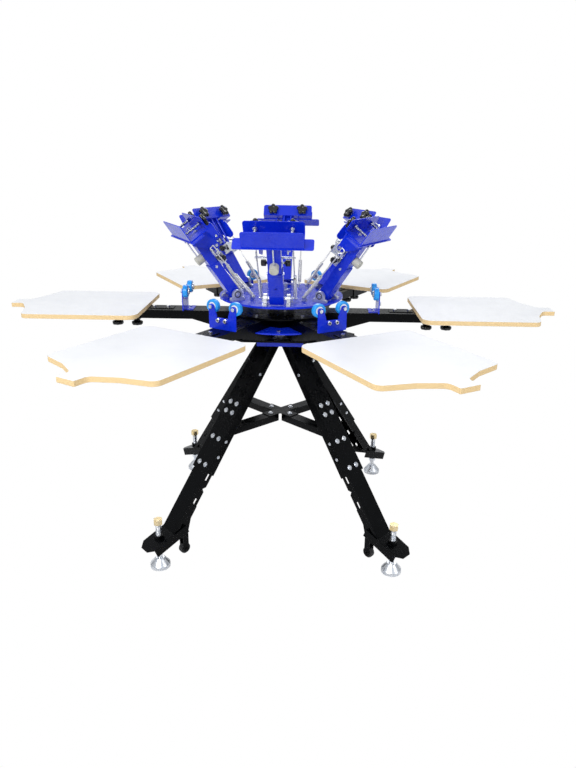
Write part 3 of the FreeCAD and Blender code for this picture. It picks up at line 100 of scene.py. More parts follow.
class Signal:
    """A shader value that takes arithmetic."""

    def __init__(self, finish, socket):
        self.finish = finish
        self.socket = socket

    def combine(self, operation, first, second):
        return self.finish.node("ShaderNodeMath", {0: first, 1: second}, operation=operation)

    def __add__(self, other):
        return self.combine("ADD", self, other)

    def __sub__(self, other):
        return self.combine("SUBTRACT", self, other)

    def __rsub__(self, other):
        return self.combine("SUBTRACT", other, self)

    def __mul__(self, other):
        return self.combine("MULTIPLY", self, other)

    def __gt__(self, other):
        return self.combine("GREATER_THAN", self, other)

    def __lt__(self, other):
        return self.combine("LESS_THAN", self, other)

    __radd__ = __add__
    __rmul__ = __mul__


class Finish:
    """A surface finish: one material and the name of the slot that it stands for."""

    def __init__(self, name, slot, color, roughness, metallic=0.0, **fixed):
        self.name = name
        self.slot = slot
        self.material = bpy.data.materials.new(name)
        self.material.use_nodes = True
        self.tree = self.material.node_tree
        self.shader = self.tree.nodes["Principled BSDF"]
        self.set("Base Color", (*color, 1))
        self.set("Roughness", roughness)
        self.set("Metallic", metallic)
        for socket, value in fixed.items():
            self.set(socket.replace("_", " "), value)

    def set(self, socket, value):
        if isinstance(value, Signal):
            self.tree.links.new(value.socket, self.shader.inputs[socket])
        else:
            self.shader.inputs[socket].default_value = value

    def node(self, kind, sockets, output=0, **settings):
        made = self.tree.nodes.new(kind)
        for setting, value in settings.items():
            setattr(made, setting, value)
        for key, value in sockets.items():
            if isinstance(value, Signal):
                self.tree.links.new(value.socket, made.inputs[key])
            else:
                made.inputs[key].default_value = value
        return Signal(self, made.outputs[output])

    def place(self, stretch=(1, 1, 1)):
        """Object coordinates in metres, stretched along each axis."""
        point = self.node("ShaderNodeTexCoord", {}, "Object")
        return self.node("ShaderNodeMapping", {"Vector": point, "Scale": stretch})

    def noise(self, scale, detail=2.0, stretch=(1, 1, 1)):
        return self.node("ShaderNodeTexNoise",
                         {"Vector": self.place(stretch), "Scale": scale, "Detail": detail})

    def between(self, value, low, high, out_low=0.0, out_high=1.0):
        """The value remapped smoothly from low..high to another range."""
        sockets = {"Value": value, "From Min": low, "From Max": high, "To Min": out_low, "To Max": out_high}
        return self.node("ShaderNodeMapRange", sockets, interpolation_type="SMOOTHSTEP")

    def mix(self, share, first, second):
        """A colour between two colours."""
        def wide(color):
            return color if isinstance(color, Signal) else (*color, 1)
        return self.node("ShaderNodeMix", {0: share, 6: wide(first), 7: wide(second)}, 2, data_type="RGBA")

    def bump(self, height, distance, strength=1.0):
        self.set("Normal",
                 self.node("ShaderNodeBump", {"Height": height, "Distance": distance, "Strength": strength}))

    def height(self):
        """Height above the floor in metres."""
        return self.node("ShaderNodeSeparateXYZ", {0: self.node("ShaderNodeTexCoord", {}, "Object")}, "Z")


def powder_coat(name, slot, color, shade, roughness, **fixed):
    """Baked powder paint: orange peel, slightly uneven gloss and depth of colour."""
    paint = Finish(name, slot, color, roughness, **fixed)
    patches = paint.noise(9, 3)
    paint.set("Base Color", paint.mix(paint.between(patches, 0.35, 0.7), color, shade))
    paint.set("Roughness", paint.between(paint.noise(30, 3), 0.3, 0.7, roughness * 0.8, roughness * 1.25))
    paint.bump(paint.noise(650, 2), 0.00008, 0.4)
    return paint


def plated(name, slot, color, shade, roughness, scale=60):
    """Plated steel with faint cloudy variation and fine drawn lines."""
    steel = Finish(name, slot, color, roughness, 1.0)
    steel.set("Base Color", steel.mix(steel.between(steel.noise(scale, 3), 0.35, 0.7), color, shade))
    steel.set("Roughness",
              steel.between(steel.noise(scale * 3, 2), 0.3, 0.75, roughness * 0.7, roughness * 1.35))
    steel.bump(steel.noise(1800, 1), 0.00004, 0.4)
    return steel


def moulded(name, slot, color, shade, roughness, grain=900):
    """Moulded plastic or rubber with a fine spark grain."""
    plastic = Finish(name, slot, color, roughness)
    plastic.set("Base Color", plastic.mix(plastic.between(plastic.noise(40, 2), 0.4, 0.7), color, shade))
    plastic.set("Roughness",
                plastic.between(plastic.noise(120, 2), 0.3, 0.7, roughness * 0.85, roughness * 1.2))
    plastic.bump(plastic.noise(grain, 2), 0.0001, 0.5)
    return plastic


def laminated_board():
    """White laminate sheets on both faces of plywood, whose layers show round the edge."""
    board = Finish("laminated_board", "laminate_board", (0.70, 0.70, 0.705), 0.5, Specular_IOR_Level=0.1)
    high = board.height()
    sheet = 0.7 * MM
    ply = (high < PLATEN_TOP - sheet) * (high > PLATEN_LOW + sheet)
    layer = board.node("ShaderNodeMath", {0: (high - PLATEN_LOW) * (1 / (2.1 * MM)), 1: 1.0},
                       operation="FRACT")
    grain = board.noise(140, 4, (1, 1, 7))
    light = board.mix(grain, (0.80, 0.62, 0.36), (0.66, 0.47, 0.23))
    dark = board.mix(grain, (0.60, 0.41, 0.19), (0.50, 0.33, 0.15))
    edge = board.mix(board.between(layer, 0.72, 0.86) * 0.75, light, dark)
    smudge = board.between(board.noise(5, 4), 0.45, 0.8)
    face = board.mix(smudge, (0.70, 0.70, 0.705), (0.665, 0.668, 0.68))
    board.set("Base Color", board.mix(ply, face, edge))
    board.set("Roughness", board.between(board.noise(25, 3), 0.3, 0.7, 0.30, 0.42) + ply * 0.3)
    board.bump(board.noise(420, 3) * (ply * 3 + 0.25), 0.00015, 0.6)
    return board


blue = powder_coat("blue_powder_coat", "blue_paint", (0.003, 0.026, 0.58), (0.0025, 0.021, 0.52), 0.26,
                   Specular_IOR_Level=0.2, Coat_Weight=0.3, Coat_Roughness=0.06)
black = powder_coat("black_powder_coat", "black_paint", (0.0006, 0.0008, 0.0012), (0.0004, 0.0005, 0.0008),
                    0.27,
                    Specular_IOR_Level=0.09)
zinc = plated("bright_zinc", "zinc", (0.76, 0.77, 0.79), (0.62, 0.65, 0.70), 0.28)
yellow_zinc = plated("yellow_zinc", "zinc", (0.78, 0.60, 0.30), (0.66, 0.55, 0.36), 0.3)
wire = plated("spring_wire", "spring_steel", (0.80, 0.79, 0.75), (0.70, 0.70, 0.67), 0.34, 200)
cast = plated("cast_housing", "bearing_steel", (0.70, 0.71, 0.74), (0.58, 0.60, 0.64), 0.42, 30)
knob = moulded("knob_plastic", "knob_plastic", (0.003, 0.003, 0.0035), (0.002, 0.002, 0.002), 0.22)
roller_blue = moulded("roller_blue", "roller_plastic", (0.010, 0.30, 0.78), (0.008, 0.25, 0.70), 0.3)
roller_white = moulded("roller_white", "roller_plastic", (0.82, 0.84, 0.86), (0.74, 0.77, 0.80), 0.35)
rubber = moulded("black_rubber", "foot_rubber", (0.012, 0.012, 0.012), (0.02, 0.02, 0.02), 0.6)
tyre = moulded("caster_tyre", "caster_plastic", (0.012, 0.012, 0.013), (0.025, 0.025, 0.026), 0.42)
bumper = moulded("bumper_rubber", "foot_rubber", (0.50, 0.49, 0.42), (0.40, 0.39, 0.33), 0.45)
board = laminated_board()


def closed_shells(node):
    """The CAD node's triangles in runs that each close one shell."""
    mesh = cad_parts[node].data
    spots = [tuple(round(value * 1e7) for value in vertex.co) for vertex in mesh.vertices]
    waiting, run = set(), []
    for face in mesh.polygons:
        corners = [spots[i] for i in face.vertices]
        run.append([mesh.vertices[i].co.copy() for i in face.vertices])
        for a, b in zip(corners, corners[1:] + corners[:1]):
            if a == b:
                continue
            if (b, a) in waiting:
                waiting.remove((b, a))
            else:
                waiting.add((a, b))
        if not waiting:
            yield run
            run = []
    if run:
        yield run


def shell_mesh(run):
    """One shell with shared corners and whole flat faces."""
    shell = bmesh.new()
    for corners in run:
        shell.faces.new([shell.verts.new(corner) for corner in corners])
    bmesh.ops.remove_doubles(shell, verts=shell.verts, dist=1e-6)
    bmesh.ops.dissolve_degenerate(shell, edges=shell.edges, dist=1e-7)
    bmesh.ops.dissolve_limit(shell, angle_limit=math.radians(0.6), verts=shell.verts, edges=shell.edges)
    return shell


def new_piece(name, body, finish, mesh, node=None):
    """A finished piece that rides on a body; its mesh is already in place."""
    mesh.materials.clear()
    mesh.materials.append(finish.material)
    piece = bpy.data.objects.new(name, mesh)
    bpy.context.scene.collection.objects.link(piece)
    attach(piece, body)
    if node:
        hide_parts(node)
    return piece


def soften(piece, width, segments=2, angle=32):
    """Small round edges, with the flat faces kept flat."""
    bevel = piece.modifiers.new("edges", "BEVEL")
    bevel.width = width
    bevel.segments = segments
    bevel.limit_method = "ANGLE"
    bevel.angle_limit = math.radians(angle)
    weigh = piece.modifiers.new("flats", "WEIGHTED_NORMAL")
    weigh.keep_sharp = True


def dress(node, body, choose, place=Matrix(), width=0.7 * MM, segments=2):
    """Replace a node by copies of its solids, one piece for each finish, with softened edges.

    choose gets the middle and the size of each solid in the place's own axes.
    """
    back = place.inverted()
    sets = {}
    for run in closed_shells(node):
        local = [back @ corner for corners in run for corner in corners]
        low = Vector(map(min, *local))
        high = Vector(map(max, *local))
        finish = choose((low + high) / 2 / MM, (high - low) / MM) if callable(choose) else choose
        if finish is None:
            continue
        shell = shell_mesh(run)
        part = bpy.data.meshes.new("shell")
        shell.to_mesh(part)
        shell.free()
        sets.setdefault(finish.name, (finish, bmesh.new()))[1].from_mesh(part)
        bpy.data.meshes.remove(part)
    pieces = []
    for name, (finish, whole) in sets.items():
        mesh = bpy.data.meshes.new(f"{node}_{name}")
        for face in whole.faces:
            face.smooth = True
        whole.to_mesh(mesh)
        whole.free()
        piece = new_piece(f"{node}_{name}", body, finish, mesh, node)
        soften(piece, width, segments)
        pieces.append(piece)
    return pieces


def spin_profile(corners, steps=48, way="Z"):
    """A closed solid turned about an axis from radius and length pairs in millimetres."""
    made = bmesh.new()
    rings = []
    for radius, length in corners:
        if radius == 0:
            rings.append([made.verts.new((0, 0, length * MM))])
            continue
        ring = []
        for i in range(steps):
            angle = 2 * math.pi * i / steps
            ring.append(made.verts.new((radius * MM * math.cos(angle), radius * MM * math.sin(angle),
                                        length * MM)))
        rings.append(ring)
    for low, high in zip(rings, rings[1:] + rings[:1]):
        if len(low) == 1 and len(high) == 1:
            continue
        for i in range(steps):
            j = (i + 1) % steps
            if len(low) == 1:
                made.faces.new((low[0], high[j], high[i]))
            elif len(high) == 1:
                made.faces.new((low[i], low[j], high[0]))
            else:
                made.faces.new((low[i], low[j], high[j], high[i]))
    for face in made.faces:
        face.smooth = True
    bmesh.ops.recalc_face_normals(made, faces=made.faces)
    if way == "X":
        made.transform(Matrix.Rotation(math.radians(90), 4, "Y"))
    elif way == "Y":
        made.transform(Matrix.Rotation(math.radians(-90), 4, "X"))
    return made


def lobed_knob(outer, inner, lobes, levels, steps=60):
    """A closed hand knob about Z; each level is a height, a share of the outline and a share of the lobes."""
    made = bmesh.new()
    rings = []
    middle, swing = (outer + inner) / 2, (outer - inner) / 2
    for high, share, lobed in levels:
        ring = []
        for i in range(steps):
            angle = 2 * math.pi * i / steps
            wave = math.cos(lobes * angle)
            wave = wave + 0.25 * (1 - wave * wave)
            radius = (middle + swing * wave * lobed) * share
            ring.append(made.verts.new((radius * MM * math.cos(angle), radius * MM * math.sin(angle),
                                        high * MM)))
        rings.append(ring)
    for low, high in zip(rings, rings[1:]):
        for i in range(steps):
            j = (i + 1) % steps
            made.faces.new((low[i], low[j], high[j], high[i]))
    made.faces.new(rings[0][::-1])
    made.faces.new(rings[-1])
    for face in made.faces:
        face.smooth = len(face.verts) == 4
    return made


def taken(mesh):
    """A bmesh in the place of a mesh."""
    made = bmesh.new()
    made.from_mesh(mesh)
    bpy.data.meshes.remove(mesh)
    return made


def join(parts):
    """One mesh from several bmeshes, each with the matrices of its copies."""
    whole = bmesh.new()
    for part, places in parts:
        for place in places:
            copy = part.copy()
            copy.transform(place)
            mesh = bpy.data.meshes.new("copy")
            copy.to_mesh(mesh)
            copy.free()
            whole.from_mesh(mesh)
            bpy.data.meshes.remove(mesh)
        part.free()
    joined = bpy.data.meshes.new("joined")
    whole.to_mesh(joined)
    whole.free()
    return joined


class Tree:
    """A geometry node tree with named inputs."""

    def __init__(self, name, inputs):
        self.group = bpy.data.node_groups.new(name, "GeometryNodeTree")
        sockets = self.group.interface
        self.names = {}
        for label, kind, value in inputs:
            socket = sockets.new_socket(label, in_out="INPUT", socket_type=kind)
            if value is not None:
                socket.default_value = value
            self.names[label] = socket.identifier
        sockets.new_socket("Geometry", in_out="OUTPUT", socket_type="NodeSocketGeometry")
        self.given = self.group.nodes.new("NodeGroupInput")
        self.result = self.group.nodes.new("NodeGroupOutput")

    def value(self, label):
        return self.given.outputs[label]

    def node(self, kind, sockets=None, **settings):
        made = self.group.nodes.new(kind)
        for setting, value in settings.items():
            setattr(made, setting, value)
        for key, value in (sockets or {}).items():
            if isinstance(value, bpy.types.NodeSocket):
                self.group.links.new(value, made.inputs[key])
            else:
                made.inputs[key].default_value = value
        return made.outputs[0]

    def finish(self, geometry):
        real = self.node("GeometryNodeRealizeInstances", {0: geometry})
        smooth = self.node("GeometryNodeSetShadeSmooth", {0: real})
        painted = self.node("GeometryNodeSetMaterial",
                            {"Geometry": smooth, "Material": self.value("Material")})
        self.group.links.new(painted, self.result.inputs[0])

    def run(self, material, mesh=None, **values):
        """The tree's result as a plain mesh."""
        host = bpy.data.objects.new("host", mesh or bpy.data.meshes.new("host"))
        bpy.context.scene.collection.objects.link(host)
        modifier = host.modifiers.new("tree", "NODES")
        modifier.node_group = self.group
        modifier[self.names["Material"]] = material
        for label, value in values.items():
            modifier[self.names[label.replace("_", " ")]] = value
        bpy.context.view_layer.update()
        graph = bpy.context.evaluated_depsgraph_get()
        result = bpy.data.meshes.new_from_object(host.evaluated_get(graph))
        host.modifiers.clear()
        bpy.data.objects.remove(host)
        return result


def helix_tree():
    """Wire wound in an even helix about Z."""
    tree = Tree("wound_wire", [("Geometry", "NodeSocketGeometry", None), ("Turns", "NodeSocketFloat", 10.0),
                               ("Radius", "NodeSocketFloat", 0.01), ("Length", "NodeSocketFloat", 0.1),
                               ("Wire", "NodeSocketFloat", 0.001), ("Steps", "NodeSocketInt", 16),
                               ("Sides", "NodeSocketInt", 8), ("Material", "NodeSocketMaterial", None)])
    line = tree.node("GeometryNodeCurveSpiral",
                     {"Resolution": tree.value("Steps"), "Rotations": tree.value("Turns"),
                      "Start Radius": tree.value("Radius"),
                      "End Radius": tree.value("Radius"), "Height": tree.value("Length")})
    section = tree.node("GeometryNodeCurvePrimitiveCircle", {"Resolution": tree.value("Sides"),
                                                             "Radius": tree.value("Wire")})
    tree.finish(tree.node("GeometryNodeCurveToMesh",
                          {"Curve": line, "Profile Curve": section, "Fill Caps": True}))
    return tree


def bolt_tree():
    """Copies of one bolt at points, each turned to its way and scaled to its size."""
    tree = Tree("bolts", [("Geometry", "NodeSocketGeometry", None), ("Bolt", "NodeSocketObject", None),
                          ("Material", "NodeSocketMaterial", None)])
    way = tree.node("GeometryNodeInputNamedAttribute", {"Name": "way"}, data_type="FLOAT_VECTOR")
    size = tree.node("GeometryNodeInputNamedAttribute", {"Name": "size"}, data_type="FLOAT")
    rotation = tree.node("FunctionNodeAlignRotationToVector", {"Vector": way}, axis="Z")
    bolt = tree.group.nodes.new("GeometryNodeObjectInfo")
    tree.group.links.new(tree.value("Bolt"), bolt.inputs["Object"])
    points = tree.node("GeometryNodeMeshToPoints", {"Mesh": tree.value("Geometry")})
    copies = tree.node("GeometryNodeInstanceOnPoints",
                       {"Points": points, "Instance": bolt.outputs["Geometry"],
                        "Rotation": rotation, "Scale": size})
    tree.finish(copies)
    return tree


helix = helix_tree()
bolts = bolt_tree()


def hex_bolt(across, tall, washer, washer_thick):
    """A six sided head with chamfered corners on a washer; across is the radius of its corners."""
    made = bmesh.new()

    def ring(radius, high, steps):
        """Corners round the axis, where radius is a number or a function of the angle."""
        corners = []
        for i in range(steps):
            angle = 2 * math.pi * i / steps
            out = radius(angle) if callable(radius) else radius
            corners.append(made.verts.new((out * MM * math.cos(angle), out * MM * math.sin(angle),
                                           high * MM)))
        return corners

    def close(rings):
        """Walls between neighbouring rings, a bottom and a top."""
        for low, high in zip(rings, rings[1:]):
            for i in range(len(low)):
                j = (i + 1) % len(low)
                made.faces.new((low[i], low[j], high[j], high[i]))
        made.faces.new(rings[0][::-1])
        made.faces.new(rings[-1])

    def hexagon(share):
        """Radius of the head at an angle; a share below one rounds its corners or draws it in."""
        def radius(angle):
            flat = math.cos(math.radians(30)) / math.cos((angle % math.radians(60)) - math.radians(30))
            if share == 1:
                return across * flat
            return across * min(flat, share * 0.98) * (share if share < 0.9 else 1)
        return radius

    close([ring(washer, 0, 32), ring(washer, washer_thick, 32)])
    levels = ((1, washer_thick), (1, tall * 0.8), (0.93, tall), (0.72, tall))
    close([ring(hexagon(share), high, 24) for share, high in levels])
    return made


def bolt_set(name, body, finish, spots, shape, node=None):
    """One piece with a bolt at each spot: a place, a way and a size."""
    mesh = bpy.data.meshes.new("spots")
    mesh.from_pydata([spot[0] for spot in spots], [], [])
    mesh.attributes.new("way", "FLOAT_VECTOR", "POINT")
    mesh.attributes.new("size", "FLOAT", "POINT")
    for i, (_, way, size) in enumerate(spots):
        mesh.attributes["way"].data[i].vector = way
        mesh.attributes["size"].data[i].value = size
    model = bpy.data.meshes.new("bolt")
    shape.to_mesh(model)
    shape.free()
    bolt = bpy.data.objects.new("bolt", model)
    bpy.context.scene.collection.objects.link(bolt)
    result = bolts.run(finish.material, mesh, Bolt=bolt)
    bpy.data.objects.remove(bolt)
    piece = new_piece(name, body, finish, result, node)
    soften(piece, 0.25 * MM, 1, 40)
    return piece


def camera():
    """The photograph's viewpoint."""
    yaw, pitch, roll = -0.02128, 0.32360, 0.011836
    focal, wide, tall = 646.488, 576, 768
    middle_x, middle_y = 292.464, 372.296
    ahead = Vector((math.sin(yaw) * math.cos(pitch), math.cos(yaw) * math.cos(pitch), -math.sin(pitch)))
    right = Vector((math.cos(yaw), -math.sin(yaw), 0))
    above = right.cross(ahead)
    side = right * math.cos(roll) + above * math.sin(roll)
    top = above * math.cos(roll) - right * math.sin(roll)
    lens = bpy.data.cameras.new("camera")
    lens.sensor_width = 36
    lens.lens = focal * lens.sensor_width / tall
    lens.shift_x = (wide / 2 - middle_x) / tall
    lens.shift_y = (middle_y - tall / 2) / tall
    lens.clip_end = 100
    eye = bpy.data.objects.new("camera", lens)
    axes = Matrix((side, top, -ahead)).transposed().to_4x4()
    eye.matrix_world = Matrix.Translation((0.10477, -2.59925, 1.54725)) @ axes
    bpy.context.scene.collection.objects.link(eye)
    bpy.context.scene.camera = eye


def area_light(name, spot, target, width, height, power):
    data = bpy.data.lights.new(name, "AREA")
    data.shape = "RECTANGLE"
    data.size = width
    data.size_y = height
    data.energy = power
    lamp = bpy.data.objects.new(name, data)
    lamp.location = spot
    lamp.rotation_euler = (Vector(target) - Vector(spot)).to_track_quat("-Z", "Y").to_euler()
    bpy.context.scene.collection.objects.link(lamp)


def seen_by_camera(tree, other, seen):
    """A shader that shows the camera one thing and every other ray another."""
    mixed = tree.nodes.new("ShaderNodeMixShader")
    path = tree.nodes.new("ShaderNodeLightPath")
    tree.links.new(path.outputs["Is Camera Ray"], mixed.inputs[0])
    tree.links.new(other.outputs[0], mixed.inputs[1])
    tree.links.new(seen.outputs[0], mixed.inputs[2])
    return mixed.outputs[0]


def studio():
    """White floor and surroundings, a sky that fades towards the horizon and three soft lamps."""
    scene = bpy.context.scene
    scene.view_settings.view_transform = "Standard"
    world = bpy.data.worlds.new("studio")
    scene.world = world
    world.use_nodes = True
    tree = world.node_tree
    light = tree.nodes["Background"]
    light.inputs["Color"].default_value = (0.93, 0.96, 1, 1)
    way = tree.nodes.new("ShaderNodeSeparateXYZ")
    tree.links.new(tree.nodes.new("ShaderNodeTexCoord").outputs["Generated"], way.inputs[0])
    rise = tree.nodes.new("ShaderNodeMapRange")
    for name, value in (("From Min", 0.02), ("From Max", 0.75), ("To Min", 0.3), ("To Max", 1.0)):
        rise.inputs[name].default_value = value
    tree.links.new(way.outputs["Z"], rise.inputs["Value"])
    tree.links.new(rise.outputs["Result"], light.inputs["Strength"])
    white = tree.nodes.new("ShaderNodeBackground")
    white.inputs["Color"].default_value = (1, 1, 1, 1)
    tree.links.new(seen_by_camera(tree, light, white), tree.nodes["World Output"].inputs[0])

    half = 30
    mesh = bpy.data.meshes.new("floor")
    mesh.from_pydata([(-half, -half, 0), (half, -half, 0), (half, half, 0), (-half, half, 0)], [],
                     [(0, 1, 2, 3)])
    floor = bpy.data.objects.new("floor", mesh)
    floor.location.z = -0.5 * MM
    scene.collection.objects.link(floor)
    pale = bpy.data.materials.new("pale_floor")
    pale.use_nodes = True
    tree = pale.node_tree
    matt = tree.nodes["Principled BSDF"]
    matt.inputs["Base Color"].default_value = (0.82, 0.82, 0.82, 1)
    matt.inputs["Roughness"].default_value = 0.9
    matt.inputs["Specular IOR Level"].default_value = 0.1
    glow = tree.nodes.new("ShaderNodeEmission")
    tree.links.new(seen_by_camera(tree, matt, glow), tree.nodes["Material Output"].inputs[0])
    mesh.materials.append(pale)

    area_light("key", (-1.3, -3.1, 2.9), (0, 0, 0.9), 2.2, 1.4, 88)
    area_light("fill", (2.6, -1.8, 1.9), (0, 0, 0.8), 1.2, 1.8, 16)
    area_light("back", (0.2, 2.8, 3.0), (0, 0, 0.95), 3.0, 1.2, 60)


def make_stand():
    """Painted plate, head, legs and brace, with the spindle and the bolts."""
    for node in ("stand_plate", "upper_legs", "lower_legs", "cross_brace", "caster_forks"):
        dress(node, "stand", black)
    dress("stand_head", "stand", blue)
    dress("spindle", "stand", zinc)
    spots = []
    for x, y in ((270, 12), (235, 40)):
        for side in (1, -1):
            for other in (1, -1):
                spots.append((Vector((x * side, y * other, STAND_TOP)) * MM, (0, 0, 1), 1))
    for azimuth in LEGS:
        spots.append((turn(azimuth) @ (Vector((56, 0, BRACE_TOP)) * MM), (0, 0, 1), 1))
        place = leg_frame(azimuth)
        way = (place.to_3x3() @ Vector((1, 0, 0))).normalized()
        for along in LEG_BOLTS:
            for side in (20, -20):
                spots.append((place @ (Vector((0, side, -along)) * MM), way, 1))
    bolt_set("stand_bolt_heads", "stand", zinc, spots, hex_bolt(7.5, 6, 10, 1.4), "stand_bolts")

    flange_spots = []
    for azimuth in LEGS:
        place = leg_frame(azimuth)
        for side in (1, -1):
            way = (place.to_3x3() @ Vector((0, side, 0))).normalized()
            for along in FLANGE_BOLTS:
                half = 42 + 7 * (along + 70) / 635
                flange_spots.append((place @ (Vector((-18, side * half, -along)) * MM), way, 0.8))
    bolt_set("flange_bolt_heads", "stand", zinc, flange_spots, hex_bolt(6, 4.5, 8, 1.2))


def make_feet():
    """Leveling feet with threaded stems and yellow cap nuts."""
    for i, azimuth in enumerate(LEGS, 1):
        node = body = f"leveling_foot_{i}"

        def choose(middle, size):
            return yellow_zinc if middle.z > 185 and size.z < 30 else zinc

        dress(node, body, choose, turn(azimuth))
        place = turn(azimuth) @ move(LEVEL_RING, 0, 0)
        thread = helix.run(zinc.material, Turns=46.0, Radius=9.9 * MM, Length=108 * MM, Wire=0.9 * MM,
                           Steps=24, Sides=4)
        thread.transform(place @ move(0, 0, 79.5))
        new_piece(f"leveling_thread_{i}", body, zinc, thread)


def make_casters():
    """Two transport wheels on the front legs, each turned from one outline."""
    for i, azimuth in enumerate(LEGS[2:], 1):
        place = turn(azimuth) @ move(CASTER_RING, 0, CASTER_HIGH)
        wheel = spin_profile([(4.1, -11), (9, -11), (9.5, -8.5), (15.5, -8.5), (16.5, -10.6), (20, -10.4),
                              (21.6, -8.5),
                              (22, -5), (22, 5), (21.6, 8.5), (20, 10.4), (16.5, 10.6), (15.5, 8.5),
                              (9.5, 8.5), (9, 11),
                              (4.1, 11)], 56, "Y")
        new_piece(f"caster_tyre_{i}", f"caster_wheel_{i}", tyre, join([(wheel, [place])]),
                  f"caster_wheel_{i}")


def make_lower_carousel():
    """Arms, gates with their rollers, platens and the knobs of the slides."""
    body = "lower_carousel"
    dress("lower_hub", body, black)
    dress("lower_disc", body, blue)
    dress("platen_arms", body, black)
    dress("gate_brackets", body, blue, width=0.8 * MM)
    dress("carousel_fittings", body, lambda middle, size: black if size.z < 3.5 and max(size) > 90 else zinc,
          width=0.5 * MM)
    dress("platen_brackets", body, lambda middle, size: None if max(size) < 75 else black)
    grips = []
    for azimuth in STATIONS:
        for out in SLIDE_KNOBS:
            grips.append(turn(azimuth) @ move(out, 0, SLIDE_KNOB_TOP) @ Matrix.Rotation(math.pi, 4, "X"))
    grip = lobed_knob(22.9, 19.5, 7,
                      [(0, 0.54, 0), (11, 0.54, 0), (14, 0.62, 0.3), (17, 0.9, 1), (19, 1, 1), (28, 1, 1),
                       (30, 0.95, 1), (31, 0.8, 0.8)], 84)
    new_piece("slide_knobs", body, knob, join([(grip, grips)]), "platen_brackets")
    # Thin dark hexagons in black rubber laid on the gate face: painted shade that stands for the hollow hex
    # sockets of the gate screws
    sockets = []
    for azimuth in STATIONS:
        for side in (GATE_SCREW_SIDE, -GATE_SCREW_SIDE):
            sockets.append(turn(azimuth) @ move(GATE_FACE, side, GATE_SCREW_HIGH))
    socket = spin_profile([(0, 0), (4.2, 0), (4.2, 0.35), (0, 0.35)], 6, "X")
    new_piece("gate_screw_sockets", body, rubber, join([(socket, sockets)]))
    for i in range(1, 7):
        dress(f"platen_{i}", body, board, width=1.2 * MM, segments=3)
    for i, azimuth in enumerate(STATIONS, 1):
        for side, name in ((1, "left"), (-1, "right")):
            place = turn(azimuth) @ move(ROLLER_START, ROLLER_SIDE * side, ROLLER_HIGH)
            node = f"roller_{name}_{i}"
            rim = spin_profile([(15.5, 0.8), (16.5, 0), (22.5, 0), (24.4, 1.4), (25, 4), (25, 16),
                                (24.4, 18.6),
                                (22.5, 20), (17.5, 20), (16.5, 19.2), (15.5, 18), (15.5, 2)], 56, "X")
            new_piece(f"{node}_rim", node, roller_blue, join([(rim, [place])]), node)
            hub = spin_profile([(5.05, 0), (14.5, 0), (15.6, 1), (15.6, 17.6), (14.2, 18.6), (9.5, 18.6),
                                (8.6, 17.4),
                                (5.05, 17.4)], 48, "X")
            new_piece(f"{node}_hub", node, roller_white, join([(hub, [place])]), node)


def make_upper_carousel():
    """Disc, hub, pillow blocks with their seals and spring anchors."""
    body = "upper_carousel"
    dress("upper_hub", body, black)
    dress("upper_disc", body, blue)
    dress("bearing_blocks", body, lambda middle, size: cast if max(size) > 20 else zinc, width=1.1 * MM,
          segments=3)
    dress("spring_anchors", body, zinc, width=0.5 * MM)
    places = []
    for azimuth in HEADS:
        for side in (1, -1):
            spot = move(HINGE[0], SEAL_SIDE * side, HINGE[2])
            places.append(turn(azimuth) @ spot @ Matrix.Rotation(math.radians(90 * side), 4, "X"))
    seal = spin_profile([(9.8, 0.2), (12.2, 0.2), (12.9, -1.0), (12.9, -1.6), (9.8, -1.6)], 40)
    new_piece("bearing_seals", body, rubber, join([(seal, places)]))


def knob_levels(low, neck, tall):
    """Levels of a moulded hand knob above its boss."""
    return [(low, 0.46, 0.0), (low + neck, 0.46, 0.0), (low + neck + 0.5, 0.70, 0.8),
            (low + neck + 1.6, 0.9, 1.0),
            (low + neck + 3.6, 0.99, 1.0), (low + tall - 4.5, 1.0, 1.0), (low + tall - 2, 0.95, 1.0),
            (low + tall - 0.6, 0.82, 0.9), (low + tall, 0.62, 0.7), (low + tall - 0.4, 0.36, 0.2),
            (low + tall - 1.4, 0.30, 0.0)]


def wire_tube(points, radius, closed=False):
    """Round wire along a smooth curve through points in millimetres."""
    curve = bpy.data.curves.new("wire", "CURVE")
    curve.dimensions = "3D"
    curve.bevel_depth = radius * MM
    curve.bevel_resolution = 3
    curve.resolution_u = 8
    curve.use_fill_caps = True
    spline = curve.splines.new("NURBS")
    spline.points.add(len(points) - 1)
    for spot, point in zip(spline.points, points):
        spot.co = (*(Vector(point) * MM), 1)
    spline.order_u = 3
    spline.use_cyclic_u = closed
    spline.use_endpoint_u = not closed
    host = bpy.data.objects.new("wire", curve)
    bpy.context.scene.collection.objects.link(host)
    graph = bpy.context.evaluated_depsgraph_get()
    mesh = bpy.data.meshes.new_from_object(host.evaluated_get(graph))
    bpy.data.objects.remove(host)
    made = taken(mesh)
    for face in made.faces:
        face.smooth = True
    return made


